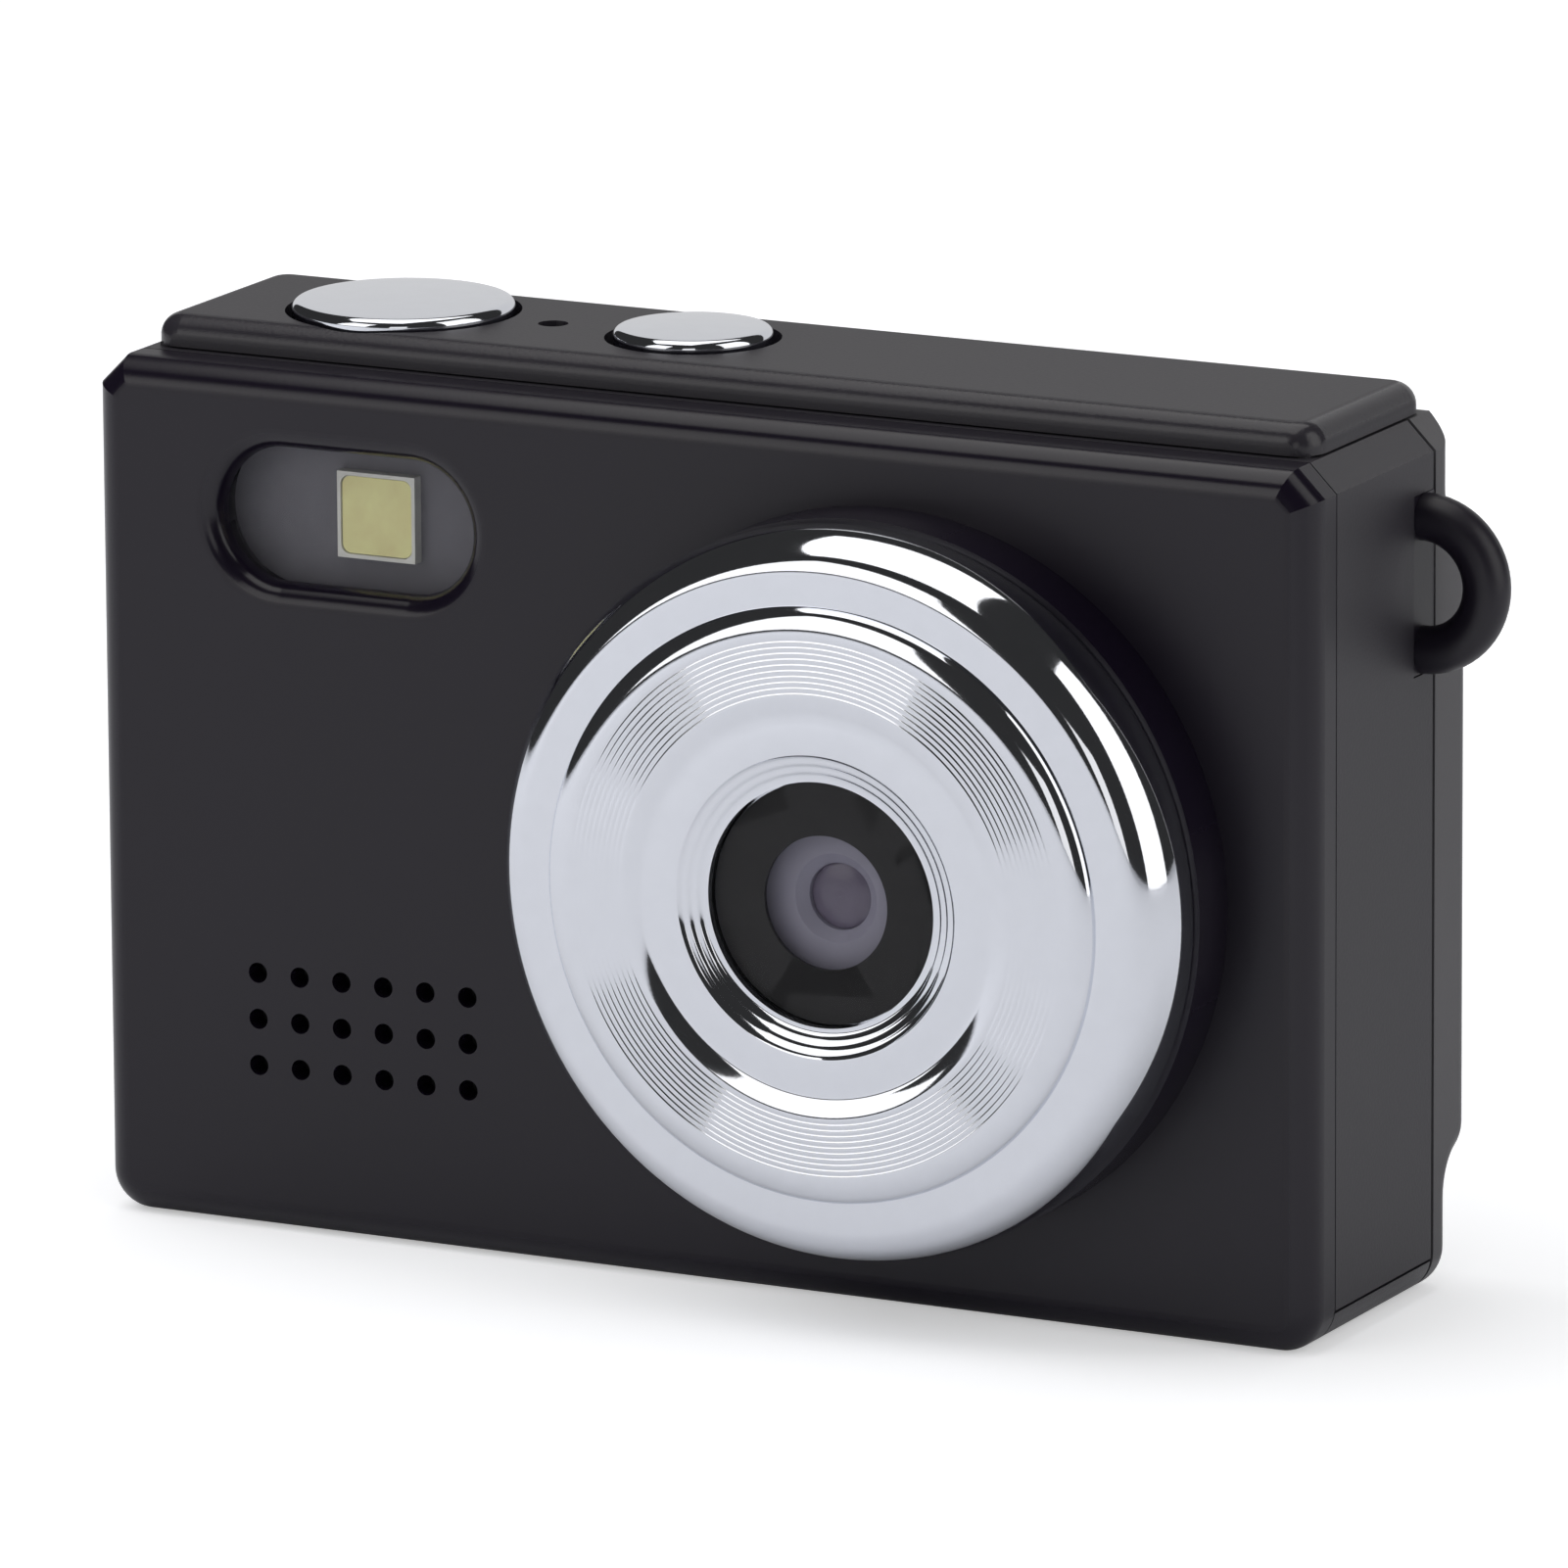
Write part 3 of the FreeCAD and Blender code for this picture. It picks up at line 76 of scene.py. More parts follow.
# ---- sizes and colours --------------------------------------------------------------------------
class FinishSizes(bpy.types.PropertyGroup):
    """Sizes of the computed pieces and of the surface detail."""

    ring_divisions: IntProperty(name="Ring divisions", description="Steps round a turned piece", default=288)
    rib_count: IntProperty(name="Ribs", description="Fine ridges on the trim ring's face", default=10)
    rib_depth: FloatProperty(
        name="Rib depth", description="Depth of one ridge", default=0.00003, unit="LENGTH")
    grain_scale: FloatProperty(
        name="Grain scale", description="Frequency of the moulded grain", default=5200.0)
    button_fillet: FloatProperty(
        name="Button edge", description="Radius of a top button's edge", default=0.00045, unit="LENGTH")


class FinishColours(bpy.types.PropertyGroup):
    """Colours of the finishes."""

    shell: FloatVectorProperty(
        name="Shell", description="Black moulded plastic", subtype="COLOR", size=3,
        default=(0.0056, 0.0035, 0.0096))
    plating: FloatVectorProperty(
        name="Plating", description="Bright plating", subtype="COLOR", size=3,
        default=(0.80, 0.82, 0.88))
    phosphor: FloatVectorProperty(
        name="Phosphor", description="Light package filling", subtype="COLOR", size=3,
        default=(0.98, 0.86, 0.42))
    board: FloatVectorProperty(
        name="Board", description="Circuit board mask", subtype="COLOR", size=3,
        default=(0.015, 0.12, 0.05))


# ---- surfaces -----------------------------------------------------------------------------------
def mesh_piece(name, vertices, faces, smooth=True):
    """New mesh object at the origin from whole arrays of vertices and faces."""
    mesh = bpy.data.meshes.new(name)
    mesh.from_pydata(vertices.tolist(), [], [list(map(int, f)) for f in faces])
    mesh.polygons.foreach_set("use_smooth", np.full(len(mesh.polygons), smooth))
    mesh.update()
    piece = bpy.data.objects.new(name, mesh)
    bpy.context.scene.collection.objects.link(piece)
    return piece


def turned_surface(profile, origin, axis, side, divisions):
    """Closed profile turned about an axis.

    A profile point (r, h) at turn t lies at origin + h*axis + r*(cos t * side + sin t * (axis x side)).
    Points with r = 0 are one vertex, so the poles are closed.
    """
    origin, axis, side = np.array(origin), np.array(axis, float), np.array(side, float)
    other = np.cross(axis, side)
    turn = np.linspace(0, FULL_TURN, divisions, endpoint=False)
    around = np.cos(turn)[:, None] * side + np.sin(turn)[:, None] * other
    profile = np.array(profile, float)
    rings, starts, count = [], [], 0
    for radius, height in profile:
        starts.append(count)
        ring = origin + height * axis + radius * (around if radius > 0 else around[:1])
        rings.append(ring)
        count += len(ring)
    faces = []
    steps = np.arange(divisions)
    following = (steps + 1) % divisions
    for i in range(len(profile) - 1):
        a, b = starts[i], starts[i + 1]
        if profile[i][0] == 0:
            faces += np.stack([np.full(divisions, a), b + following, b + steps], 1).tolist()
        elif profile[i + 1][0] == 0:
            faces += np.stack([a + steps, a + following, np.full(divisions, b)], 1).tolist()
        else:
            faces += np.stack([a + steps, a + following, b + following, b + steps], 1).tolist()
    return np.concatenate(rings), faces


def arc_points(centre, radius, start, end, count):
    """Points of a circular arc in the profile plane, from one angle to another, in degrees."""
    angles = np.radians(np.linspace(start, end, count))
    return [(centre[0] + radius * cos(a), centre[1] + radius * sin(a)) for a in angles]


def quarter_points(start, end, leaving, count):
    """Quarter of an ellipse from start to end.

    It leaves start along the height when leaving is "up", and along the radius when it is "along":
    one coordinate grows with the sine and the other with 1 - the cosine.
    """
    turn = np.linspace(0, pi / 2, count)
    rising, late = np.sin(turn), 1 - np.cos(turn)
    across, along = (late, rising) if leaving == "up" else (rising, late)
    (r0, h0), (r1, h1) = start, end
    return list(zip(r0 + (r1 - r0) * across, h0 + (h1 - h0) * along))


def bowed_points(start, end, turn, count):
    """Shallow arc from start to end, bulging away from the axis: the tangent turns by turn degrees.

    A point at share u of the chord stands off it by half the chord * tan(turn/4) * (1 - (2u - 1)^2).
    """
    start, end = np.array(start), np.array(end)
    chord = end - start
    side = np.array((chord[1], -chord[0]))
    share = np.linspace(0, 1, count)[:, None]
    rise = np.tan(radians(turn) / 4) / 2 * (1 - (2 * share - 1) ** 2)
    return [tuple(point) for point in start + chord * share + side * rise]


def soften(points, radius):
    """Each inner corner of a profile becomes two points, the radius or 0.35 of the side along its sides."""
    longest_share = 0.35
    points = [np.array(p) for p in points]
    out = [points[0]]
    for before, here, after in zip(points, points[1:], points[2:]):
        for end in (before, after):
            way = end - here
            length = np.linalg.norm(way)
            out.append(here + way / length * min(radius, length * longest_share))
    out.append(points[-1])
    return [tuple(p) for p in out]


def turned_piece(name, profile, origin, axis, divisions):
    """Mesh object of a turned profile, with its creases kept."""
    vertices, faces = turned_surface(profile, origin, axis, (1, 0, 0), divisions)
    piece = mesh_piece(name, vertices, faces)
    sharpen(piece, CREASE_ANGLE)
    return piece


def sharpen(piece, degrees):
    """Normals point outwards and edges sharper than the angle stay crisp."""
    mesh = piece.data
    made = bmesh.new()
    made.from_mesh(mesh)
    bmesh.ops.remove_doubles(made, verts=made.verts, dist=1e-8)
    bmesh.ops.recalc_face_normals(made, faces=made.faces)
    limit = radians(degrees)
    for edge in made.edges:
        if len(edge.link_faces) == 2 and edge.calc_face_angle(0.0) > limit:
            edge.smooth = False
    made.to_mesh(mesh)
    made.free()


# ---- materials ----------------------------------------------------------------------------------
class Value:
    """A shader socket that takes part in Python arithmetic; each operation adds a Math node."""

    def __init__(self, graph, socket):
        self.graph = graph
        self.socket = socket

    def __add__(self, other):
        return self.graph.math("ADD", self, other)

    def __radd__(self, other):
        return self.graph.math("ADD", other, self)

    def __sub__(self, other):
        return self.graph.math("SUBTRACT", self, other)

    def __rsub__(self, other):
        return self.graph.math("SUBTRACT", other, self)

    def __mul__(self, other):
        return self.graph.math("MULTIPLY", self, other)

    def __rmul__(self, other):
        return self.graph.math("MULTIPLY", other, self)


class Graph:
    """Node tree of a material or world, with one method for every kind of node."""

    def __init__(self, owner, output_kind):
        owner.use_nodes = True
        self.material = owner
        self.tree = owner.node_tree
        self.tree.nodes.clear()
        self.output = self.tree.nodes.new(output_kind)

    def node(self, kind, settings=None, inputs=None):
        """Adds a node, sets its settings first, then its inputs by name or index."""
        made = self.tree.nodes.new(kind)
        for key, setting in (settings or {}).items():
            setattr(made, key, setting)
        for key, value in (inputs or {}).items():
            self.feed(made.inputs[key], value)
        return made

    def feed(self, socket, value):
        """A link for a Value or socket, a constant otherwise."""
        if isinstance(value, Value):
            value = value.socket
        if isinstance(value, bpy.types.NodeSocket):
            self.tree.links.new(value, socket)
        else:
            socket.default_value = value

    def math(self, operation, first, second=0.0):
        made = self.node("ShaderNodeMath", {"operation": operation}, {0: first, 1: second})
        return Value(self, made.outputs[0])

    def place(self):
        return self.node("ShaderNodeTexCoord").outputs["Object"]

    def noise(self, scale, detail=3.0):
        made = self.node("ShaderNodeTexNoise", None, {
            "Vector": self.place(), "Scale": scale, "Detail": detail, "Roughness": 0.55})
        return Value(self, made.outputs["Fac"])

    def mix(self, share, first, second):
        """Colour between first and second."""
        made = self.node("ShaderNodeMix", {"data_type": "RGBA"}, {0: share, 6: first, 7: second})
        return made.outputs[2]

    def bump(self, height, strength, distance):
        made = self.node(
            "ShaderNodeBump", None, {"Strength": strength, "Distance": distance, "Height": height})
        return made.outputs["Normal"]

    def surface(self, **inputs):
        """Principled shader with the given inputs, linked to the output."""
        named = {key.replace("_", " "): value for key, value in inputs.items()}
        made = self.node("ShaderNodeBsdfPrincipled", None, named)
        self.tree.links.new(made.outputs[0], self.output.inputs["Surface"])
        return self.material


def material_graph(name):
    """Graph of a new material."""
    return Graph(bpy.data.materials.new(name), "ShaderNodeOutputMaterial")


def opaque(colour):
    return (*colour, 1.0)


def flat_share(g):
    """1 on faces square to an axis, 0 on rounded edges: the largest part of the surface normal."""
    edge_start, edge_slope = 0.96, 30.0
    normal = g.node("ShaderNodeTexCoord").outputs["Normal"]
    parts = g.node("ShaderNodeSeparateXYZ", None, {0: normal}).outputs
    sizes = [g.math("ABSOLUTE", Value(g, part)) for part in parts]
    largest = g.math("MAXIMUM", g.math("MAXIMUM", sizes[0], sizes[1]), sizes[2])
    return g.math("MAXIMUM", g.math("MINIMUM", (largest - edge_start) * edge_slope, 1.0), 0.0)


def shell_plastic(name, flat_roughness, edge_roughness, grain_strength, lift=1.0):
    """Black moulding: satin on the flats, glossier on the rounded edges, with grain and faint clouds.

    A lift above 1 adds that many more shares of the mean shell colour as plain grey.
    """
    colours, sizes = bpy.context.scene.finish_colours, bpy.context.scene.finish_sizes
    g = material_graph(name)
    flat = flat_share(g)
    grain = g.noise(sizes.grain_scale, 2.0)
    clouds = g.noise(60.0, 3.0)
    grey = (lift - 1) * sum(colours.shell) / 3
    dark = [(c + grey) * 0.8 for c in colours.shell]
    light = [(c + grey) * 1.25 for c in colours.shell]
    colour = g.mix(clouds, opaque(dark), opaque(light))
    rough = edge_roughness + flat * (flat_roughness - edge_roughness) + grain * 0.05 + clouds * 0.04
    return g.surface(
        Base_Color=colour, Roughness=rough, Normal=g.bump(grain, grain_strength, 0.00004), IOR=1.48)


def plating(name="plated_bright"):
    """Bright plating with faint haze, tiny pits and a slightly cool tint."""
    colours = bpy.context.scene.finish_colours
    g = material_graph(name)
    haze = g.noise(900.0, 4.0)
    pits = g.noise(5200.0, 2.0)
    dim = [c * 0.94 for c in colours.plating]
    colour = g.mix(haze, opaque(dim), opaque(colours.plating))
    return g.surface(
        Base_Color=colour, Metallic=1.0, Roughness=0.035 + haze * 0.05,
        Normal=g.bump(pits, 0.03, 0.00002))


def clear_sheet(name, tint, roughness, alpha, ior=1.5):
    """Clear plate: mostly see-through with a gloss on top."""
    g = material_graph(name)
    smudge = g.noise(240.0, 4.0)
    dim = [c * 0.9 for c in tint]
    return g.surface(
        Base_Color=g.mix(smudge, opaque(dim), opaque(tint)), Roughness=roughness + smudge * 0.02,
        Alpha=alpha + smudge * 0.03, IOR=ior)


def coloured(name, colour, roughness, metallic=0.0, scale=900.0, depth=0.1, contrast=0.18):
    """Moulded or painted surface: mottled colour, uneven roughness and a fine bump."""
    g = material_graph(name)
    mottle = g.noise(scale, 3.0)
    low = [c * (1 - contrast) for c in colour]
    high = [min(c * (1 + contrast), 1.0) for c in colour]
    return g.surface(
        Base_Color=g.mix(mottle, opaque(low), opaque(high)), Metallic=metallic,
        Roughness=roughness - 0.04 + mottle * 0.08, Normal=g.bump(mottle, depth, 0.00003))


def circuit_board(name="board_green"):
    """Green mask with lighter tracks, in the mortar of a brick pattern laid across the board."""
    colours = bpy.context.scene.finish_colours
    g = material_graph(name)
    upright = g.node("ShaderNodeMapping", None, {"Vector": g.place(), "Rotation": (pi / 2, 0, 0)})
    tracks = g.node("ShaderNodeTexBrick", {"offset": 0.5}, {
        "Vector": upright.outputs[0],
        "Scale": 260.0, "Mortar Size": 0.05, "Color1": opaque(colours.board),
        "Color2": opaque([c * 0.8 for c in colours.board]),
        "Mortar": opaque([c * 1.9 for c in colours.board])})
    return g.surface(Base_Color=tracks.outputs["Color"], Roughness=0.35 + g.noise(700.0) * 0.1)


def woven_cloth(name="speaker_cloth"):
    """Black dust cloth: two crossed wave patterns raise the threads."""
    g = material_graph(name)
    place = g.place()
    waves = [
        g.node("ShaderNodeTexWave", {"bands_direction": way}, {"Vector": place, "Scale": 900.0})
        for way in ("X", "Z")
    ]
    weave = Value(g, waves[0].outputs[1]) * Value(g, waves[1].outputs[1])
    gap, thread = (0.004, 0.004, 0.004), (0.02, 0.02, 0.02)
    return g.surface(
        Base_Color=g.mix(weave, opaque(gap), opaque(thread)), Roughness=0.85,
        Normal=g.bump(weave, 0.5, 0.00005))


def display_screen(name="display_dark"):
    """Dark switched-off display: a deep blue-grey sheet with a faint colour drift."""
    g = material_graph(name)
    drift = g.noise(35.0, 2.0)
    deep, pale = (0.006, 0.007, 0.010), (0.013, 0.015, 0.021)
    return g.surface(Base_Color=g.mix(drift, opaque(deep), opaque(pale)), Roughness=0.12 + drift * 0.05)


def dress(node, material):
    """One material on every face of a CAD node's object."""
    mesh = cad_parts[node].data
    mesh.materials.clear()
    mesh.materials.append(material)


# ---- trim ring profile: (radius, height) above the collar's top face, from the foot round to the foot ----
def flank_points(radius, crown):
    """Outer side: two quarter ellipses, out from the foot to the bulge and in to the shoulder."""
    foot = (radius - 0.4 * MM, 0.0)
    bulge = (radius, 1.6 * MM)
    shoulder = (radius - 2.0 * MM, crown - 0.81 * MM)
    return quarter_points(foot, bulge, "along", 8) + quarter_points(bulge, shoulder, "up", 24)[1:]


def slope_points(crown):
    """Flat annulus, and the quarter ellipse that climbs from it to the ribs."""
    annulus_end = (16.4 * MM, crown - 0.80 * MM)
    slope_foot = (15.6 * MM, crown - 0.78 * MM)
    ribs_edge = (14.15 * MM, crown)
    return [annulus_end, slope_foot] + quarter_points(slope_foot, ribs_edge, "up", 14)[1:]


def rib_points(crown, count, depth):
    """Ribbed face: at share u across, it dips by depth * (0.5 - 0.5 cos(2 pi u count))^2."""
    outer, inner = 14.1 * MM, 11.1 * MM
    steps_per_rib = 8
    across = np.linspace(0, 1, count * steps_per_rib + 1)
    grooves = (0.5 - 0.5 * np.cos(across * FULL_TURN * count)) ** 2
    return list(zip(outer + (inner - outer) * across, crown - depth * grooves))


def dish_points(crown, dish):
    """Sloping side of the dish as a shallow arc, then its floor, which rises gently towards the stairs."""
    side = bowed_points((11.0 * MM, crown - 0.005 * MM), (10.1 * MM, dish), 10, 8)
    floor = ((9.9, -0.02), (9.5, 0.01), (8.15, 0.10), (7.95, 0.08))
    return side + [(radius * MM, dish + height * MM) for radius, height in floor]


def stair_points(top, bottom):
    """Three steps down to the glass, each with a sloping tread and softened corners."""
    steps, first_radius, tread = 3, 7.9, 0.47
    drop = (top - bottom) / steps
    stairs = []
    for i in range(steps):
        outer = (first_radius - tread * i) * MM
        height = top - i * drop
        stairs += [(outer, height - 0.05 * MM), (outer - 0.14 * MM, height - 0.85 * drop)]
        stairs += [(outer - 0.36 * MM, height - drop)]
    return soften(stairs, 0.05 * MM)


def hidden_points(radius, glass_radius, glass_face):
    """Seat of the glass, the ledge behind it, and the hollow underside back to the foot."""
    seat_y, ledge_y, hollow_y = glass_face - 1.2 * MM, glass_face - 2.0 * MM, glass_face - 2.4 * MM
    ledge_radius, hollow_radius = glass_radius - 0.8 * MM, radius - 3.0 * MM
    return [
        (glass_radius, glass_face), (glass_radius, seat_y), (ledge_radius, seat_y), (ledge_radius, ledge_y),
        (hollow_radius, hollow_y), (hollow_radius, 0.0), (radius - 0.4 * MM, 0.0),
    ]


def ring_profile(sizes, radius, crown, glass_radius, glass_face):
    """Whole closed profile of the trim ring, without repeated points."""
    dish = crown - 0.27 * MM
    stair_top = dish + 0.08 * MM
    profile = flank_points(radius, crown) + slope_points(crown)
    profile += rib_points(crown, sizes.rib_count, sizes.rib_depth)
    profile += dish_points(crown, dish) + stair_points(stair_top, glass_face)
    profile += hidden_points(radius, glass_radius, glass_face)
    kept = profile[:1]
    for before, point in zip(profile, profile[1:]):
        if max(abs(np.subtract(point, before))) > 1e-7:
            kept.append(point)
    return kept


# ---- operators ----------------------------------------------------------------------------------
class CAMERA_OT_trim_ring(bpy.types.Operator):
    """Plated trim ring round the lens, as one turned surface with fine ribs."""

    bl_idname = "camera.trim_ring"
    bl_label = "Trim ring"

    def execute(self, context):
        sizes = context.scene.finish_sizes
        low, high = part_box("lens_trim_ring")
        window_low, window_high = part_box("lens_window")
        centre = (low + high) / 2
        foot_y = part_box("front_cover")[0].y
        glass_radius = (window_high.x - window_low.x) / 2 + 0.04 * MM
        profile = ring_profile(
            sizes, (high.x - low.x) / 2, foot_y - low.y, glass_radius, foot_y - window_low.y)
        place = (centre.x, foot_y, centre.z)
        piece = turned_piece("trim_ring", profile, place, (0, -1, 0), sizes.ring_divisions)
        piece.data.materials.append(plating())
        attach(piece, BODY)
        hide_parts("lens_trim_ring")
        return {"FINISHED"}


def button_profile(radius, top, tip, under, fillet):
    """Profile (radius, height) of a top button: foot, stem, disc with a rounded edge, and a crown.

    The crown's height falls with the square of the share of the way out to the fillet.
    """
    foot, foot_height, stem, crown = 2.3 * MM, 0.5 * MM, 1.7 * MM, 0.12 * MM
    divisions, crown_steps = 12, 14
    shoulder = top - crown - fillet
    edge = radius - fillet
    profile = [(0.0, tip), (foot, tip), (foot, tip + foot_height), (stem, tip + foot_height), (stem, under)]
    profile += [(radius, under), (radius, shoulder)]
    profile += arc_points((edge, shoulder), fillet, 0, 82, divisions)[1:]
    return profile + [(edge * s, top - crown * s * s) for s in np.linspace(1, 0, crown_steps)[1:]]


class CAMERA_OT_top_buttons(bpy.types.Operator):
    """The two plated top buttons: crowned discs with rounded edges."""

    bl_idname = "camera.top_buttons"
    bl_label = "Top buttons"

    def execute(self, context):
        fillet = context.scene.finish_sizes.button_fillet
        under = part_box("mid_frame")[1].z + 0.55 * MM
        for name in ("shutter_button", "mode_button"):
            low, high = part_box(name)
            centre = (low + high) / 2
            profile = button_profile((high.x - low.x) / 2, high.z, low.z, under, fillet)
            piece = turned_piece(name + "_cap", profile, (centre.x, centre.y, 0), (0, 0, 1), 160)
            piece.data.materials.append(plating(name + "_plated"))
            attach(piece, name + "_assembly")
            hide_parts(name)
        return {"FINISHED"}


class CAMERA_OT_shell_finish(bpy.types.Operator):
    """Satin black finishes on the covers, frame, keys and strap loop."""

    bl_idname = "camera.shell_finish"
    bl_label = "Shell finish"

    def execute(self, context):
        satin = shell_plastic("satin_black", 0.36, 0.16, 0.05)
        grained = shell_plastic("grained_black", 0.44, 0.2, 0.25, 3.8)
        dress("front_cover", satin)
        dress("rear_cover", shell_plastic("rear_black", 0.5, 0.3, 0.15, 12.0))
        for node in ("mid_frame", "bottom_cover", "top_cover"):
            dress(node, grained)
        dress("strap_lug", shell_plastic("strap_black", 0.36, 0.36, 0.08))
        for name in ("menu", "down", "up", "select"):
            dress(name + "_key", shell_plastic(name + "_key_black", 0.32, 0.24, 0.06, 1.6))
        return {"FINISHED"}


class CAMERA_OT_optics(bpy.types.Operator):
    """Glass, mask, barrel and lens element of the lens, and the window and light of the flash."""

    bl_idname = "camera.optics"
    bl_label = "Optics"

    def execute(self, context):
        phosphor = tuple(context.scene.finish_colours.phosphor)
        smooth = {"depth": 0.0, "contrast": 0.1, "scale": 200.0}
        matt = {"depth": 0.02, "contrast": 0.08, "scale": 200.0}
        dress("lens_window", clear_sheet("lens_glass", (0.02, 0.02, 0.022), 0.02, 0.06, 1.3))
        dress("lens_mask", coloured("mask_black", (0.006, 0.0055, 0.0075), 0.5, **smooth))
        dress("lens_barrel", coloured("barrel_grey", (0.30, 0.29, 0.37), 0.5, **matt))
        dress("objective_lens", coloured("objective_dark", (0.16, 0.14, 0.20), 0.2, **smooth))
        dress("lens_holder", coloured("holder_black", (0.02, 0.02, 0.022), 0.5))
        dress("image_sensor", coloured("sensor_dark", (0.03, 0.03, 0.05), 0.2))
        dress("flash_window", clear_sheet("flash_clear", (0.10, 0.10, 0.11), 0.05, 0.07))
        dress("flash_led", coloured("led_package", (0.78, 0.78, 0.74), 0.4))
        dress("flash_phosphor", coloured("led_phosphor", phosphor, 0.5))
        dress("flash_board", coloured("flash_board_grey", (0.15, 0.147, 0.172), 0.5))
        dress("status_light_pipe", clear_sheet("pipe_clear", (0.7, 0.72, 0.74), 0.1, 0.5))
        dress("status_led", coloured("status_led_white", (0.7, 0.7, 0.68), 0.4))
        dress("display_window", clear_sheet("display_cover", (0.02, 0.02, 0.022), 0.04, 0.35))
        dress("display_panel", display_screen())
        return {"FINISHED"}


class CAMERA_OT_inner_parts(bpy.types.Operator):
    """Finishes of the boards, battery, switches, sockets and screws."""

    bl_idname = "camera.inner_parts"
    bl_label = "Inner parts"

    def execute(self, context):
        for node in ("main_board", "switch_board", "key_board"):
            dress(node, circuit_board(node + "_green"))
        steel = coloured("switch_steel", (0.55, 0.55, 0.56), 0.3, 1.0, contrast=0.08)
        switches = ("shutter_switch", "mode_switch", "key_switches")
        for node in switches + ("usb_connector", "card_socket", "microphone"):
            dress(node, steel)
        dress("display_bracket", coloured("bracket_steel", (0.5, 0.5, 0.5), 0.35, 1.0, contrast=0.08))
        dress("main_board_chips", coloured("chip_black", (0.025, 0.025, 0.027), 0.45))
        dress("battery", coloured("cell_foil", (0.6, 0.61, 0.62), 0.3, 0.9, 300.0, 0.2))
        dress("battery_foam", coloured("foam_grey", (0.12, 0.12, 0.12), 0.9, depth=0.6))
        dress("speaker", coloured("speaker_black", (0.02, 0.02, 0.02), 0.5))
        dress("speaker_mesh", woven_cloth())
        dress("microphone_boot", coloured("boot_rubber", (0.03, 0.03, 0.03), 0.7))
        black_steel = coloured("screw_black", (0.06, 0.06, 0.065), 0.35, 0.9)
        for group in ("case", "board", "bracket", "key_board", "switch_board"):
            dress(group + "_screws", black_steel)
        plunger = coloured("plunger_black", (0.02, 0.02, 0.02), 0.5)
        for name in ("shutter", "mode", "menu", "down", "up", "select"):
            dress(name + "_switch_plunger", plunger)
        return {"FINISHED"}


class CAMERA_OT_studio(bpy.types.Operator):
    """Pale floor, glowing cards for the plating, a soft lamp, world and camera."""

    bl_idname = "camera.studio"
    bl_label = "Studio"

    def execute(self, context):
        scene = context.scene
        build_floor()
        build_lights()
        build_world(scene)
        build_camera(scene)
        scene.view_settings.view_transform = "Standard"
        return {"FINISHED"}


def floor_finish(name, colour, camera_lift):
    """Pale matt floor; camera rays get some light added, so that it reads white and keeps the shadow."""
    g = material_graph(name)
    mottle = g.noise(8.0, 2.0)
    dim = [c * 0.99 for c in colour]
    base = g.node("ShaderNodeBsdfDiffuse", None, {"Color": g.mix(mottle, opaque(dim), opaque(colour))})
    lift = g.node("ShaderNodeEmission", None, {"Color": (1, 1, 1, 1), "Strength": camera_lift})
    lifted = g.node("ShaderNodeAddShader", None, {0: base.outputs[0], 1: lift.outputs[0]})
    seen = g.node("ShaderNodeLightPath").outputs["Is Camera Ray"]
    chosen = g.node("ShaderNodeMixShader", None, {0: seen, 1: base.outputs[0], 2: lifted.outputs[0]})
    g.feed(g.output.inputs["Surface"], chosen.outputs[0])
    return g.material


def build_floor():
    """Square floor just under the base."""
    size, depth = 1.2, -0.00002
    corners = np.array([(sx * size, sy * size, depth) for sx, sy in ((-1, -1), (1, -1), (1, 1), (-1, 1))])
    floor = mesh_piece("studio_floor", corners, [(0, 1, 2, 3)], smooth=False)
    floor.data.materials.append(floor_finish("floor_pale", (0.84, 0.85, 0.88), 0.42))


def look(azimuth, elevation):
    """Unit vector at an azimuth from the front towards the right, and an elevation, in degrees."""
    a, e = radians(azimuth), radians(elevation)
    return np.array((sin(a) * cos(e), -cos(a) * cos(e), sin(e)))


def light_card(name, outline, facing, distance, strength):
    """Flat glowing card: each outline direction is carried to the plane at a distance along facing."""
    normal = look(*facing)
    ways = [look(*corner) for corner in outline]
    corners = np.array([way * distance / way.dot(normal) for way in ways])
    card = mesh_piece(name, corners, [tuple(range(len(corners)))], smooth=False)
    g = material_graph(name + "_glow")
    glow = g.node("ShaderNodeEmission", None, {"Color": (1.0, 0.99, 0.97, 1), "Strength": strength})
    g.feed(g.output.inputs["Surface"], glow.outputs[0])
    card.data.materials.append(g.material)
    card.visible_camera = False


def area_lamp(name, place, target, width, height, power):
    """Soft rectangular lamp at place, facing target, that no surface mirrors."""
    lamp = bpy.data.lights.new(name, "AREA")
    lamp.shape = "RECTANGLE"
    lamp.size, lamp.size_y = width, height
    lamp.energy = power
    made = bpy.data.objects.new(name, lamp)
    made.location = place
    made.rotation_euler = (Vector(target) - Vector(place)).to_track_quat("-Z", "Y").to_euler()
    made.visible_glossy = False
    bpy.context.scene.collection.objects.link(made)


def build_lights():
    """The glowing cards that the plating mirrors, and a soft lamp above, left of the camera."""
    for name, (outline, facing, strength) in LIGHT_CARDS.items():
        light_card(name, outline, facing, CARD_DISTANCE, strength)
    middle = (0, 0, 0.02)
    area_lamp("top_soft", (-0.4, -0.1, 0.6), middle, 0.7, 0.6, 2.2)


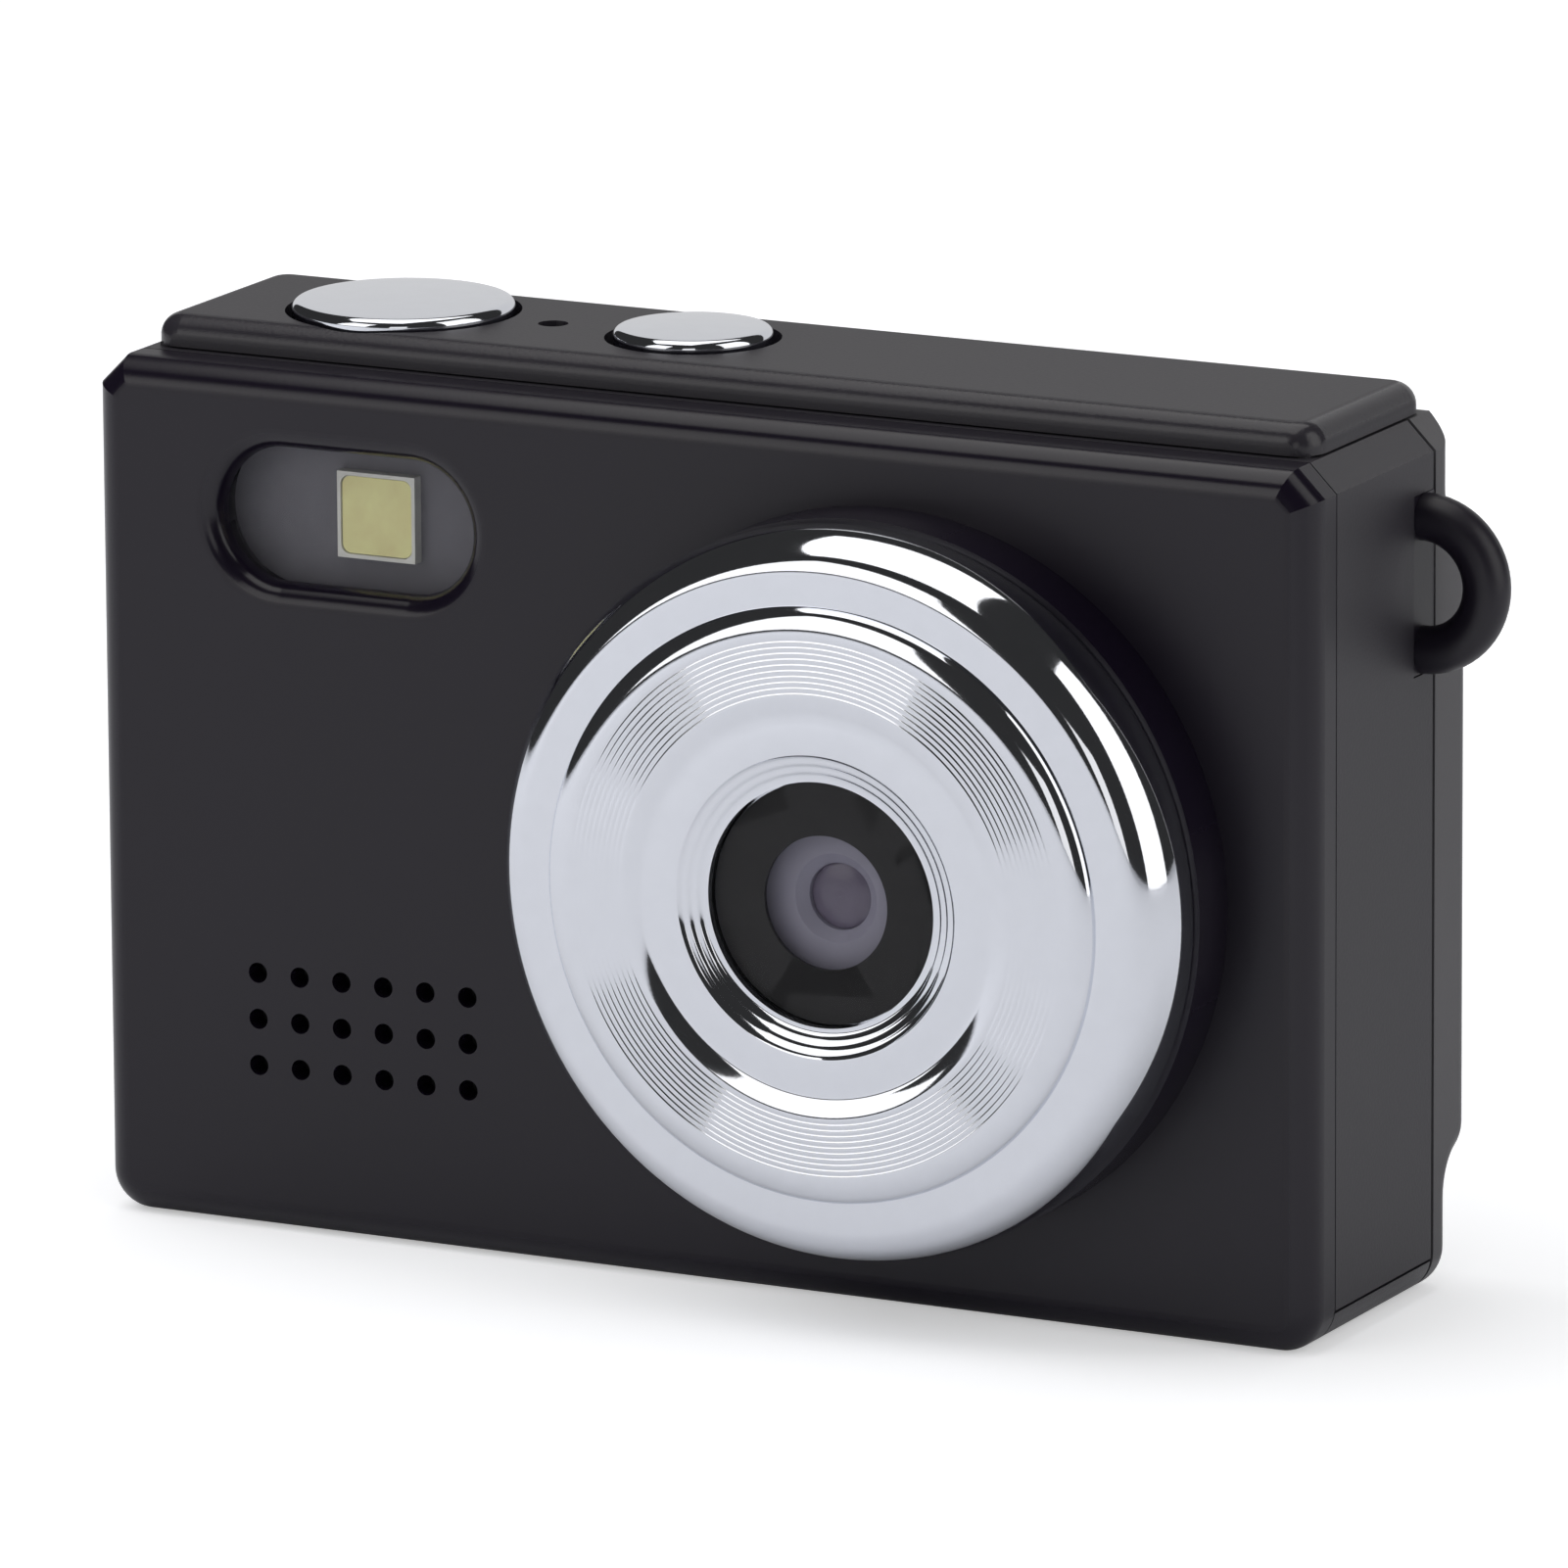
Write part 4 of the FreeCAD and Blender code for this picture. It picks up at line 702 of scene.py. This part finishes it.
def build_world(scene):
    """Surroundings: white to the camera, even grey for soft light, and a dark room for mirrors.

    Behind the object the room has a pale sweep, up to the height that the first Map Range gives.
    """
    world = bpy.data.worlds.new("studio_world")
    scene.world = world
    g = Graph(world, "ShaderNodeOutputWorld")
    way = g.node("ShaderNodeTexCoord").outputs["Generated"]
    sweep_centre = (-0.15, 0.99, 0.0)
    behind = g.node("ShaderNodeVectorMath", {"operation": "DOT_PRODUCT"}, {0: way, 1: sweep_centre})
    parts = g.node("ShaderNodeSeparateXYZ", None, {0: way}).outputs
    edge = g.node("ShaderNodeMapRange", {"interpolation_type": "SMOOTHSTEP"}, {
        "Value": behind.outputs["Value"], "From Min": 0.72, "From Max": 0.88,
        "To Min": -0.05, "To Max": 0.78})
    under = Value(g, edge.outputs[0]) - Value(g, parts[2])
    sweep = g.node("ShaderNodeMapRange", {"interpolation_type": "SMOOTHSTEP"}, {
        "Value": under, "From Min": -0.04, "From Max": 0.04, "To Min": 0.03, "To Max": 0.68})
    path = g.node("ShaderNodeLightPath").outputs
    soft = 0.38
    mirrored = Value(g, path["Is Glossy Ray"])
    strength = soft * (1 - mirrored) + Value(g, sweep.outputs[0]) * mirrored
    shown = Value(g, path["Is Camera Ray"])
    strength = strength * (1 - shown) + shown
    background = g.node("ShaderNodeBackground", None, {"Color": (1, 1, 1, 1), "Strength": strength})
    g.feed(g.output.inputs["Surface"], background.outputs[0])


def build_camera(scene):
    """Long-lens camera, seen from the right of the front and a little above."""
    azimuth, elevation, roll = radians(27.2), radians(13.16), radians(-0.36)
    distance, focal = 0.8245, 359.9
    aim = Vector((-0.0022, 0.0060, 0.0234))
    back = Vector((sin(azimuth) * cos(elevation), -cos(azimuth) * cos(elevation), sin(elevation)))
    data = bpy.data.cameras.new("studio_camera")
    data.lens, data.sensor_width = focal, 36.0
    data.clip_end = 20.0
    camera = bpy.data.objects.new("studio_camera", data)
    camera.location = aim + back * distance
    camera.rotation_euler = back.to_track_quat("Z", "Y").to_euler()
    camera.rotation_euler.rotate_axis("Z", roll)
    scene.collection.objects.link(camera)
    scene.camera = camera


class CAMERA_PT_panel(bpy.types.Panel):
    """Sidebar panel with one button for each step."""

    bl_label = "Compact camera"
    bl_idname = "CAMERA_PT_panel"
    bl_space_type = "VIEW_3D"
    bl_region_type = "UI"
    bl_category = "Camera"

    def draw(self, context):
        for step in STEPS:
            self.layout.operator(step.bl_idname)
        for group in (context.scene.finish_sizes, context.scene.finish_colours):
            for name in group.__annotations__:
                self.layout.prop(group, name)


STEPS = (
    CAMERA_OT_trim_ring, CAMERA_OT_top_buttons, CAMERA_OT_shell_finish, CAMERA_OT_optics,
    CAMERA_OT_inner_parts, CAMERA_OT_studio,
)
CLASSES = (FinishSizes, FinishColours) + STEPS + (CAMERA_PT_panel,)


def register():
    for item in CLASSES:
        bpy.utils.register_class(item)
    bpy.types.Scene.finish_sizes = PointerProperty(type=FinishSizes)
    bpy.types.Scene.finish_colours = PointerProperty(type=FinishColours)


def unregister():
    del bpy.types.Scene.finish_colours
    del bpy.types.Scene.finish_sizes
    for item in reversed(CLASSES):
        bpy.utils.unregister_class(item)


def main():
    """Registers the add-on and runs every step."""
    register()
    for step in STEPS:
        group, name = step.bl_idname.split(".")
        getattr(getattr(bpy.ops, group), name)()


if __name__ == "__main__":
    main()
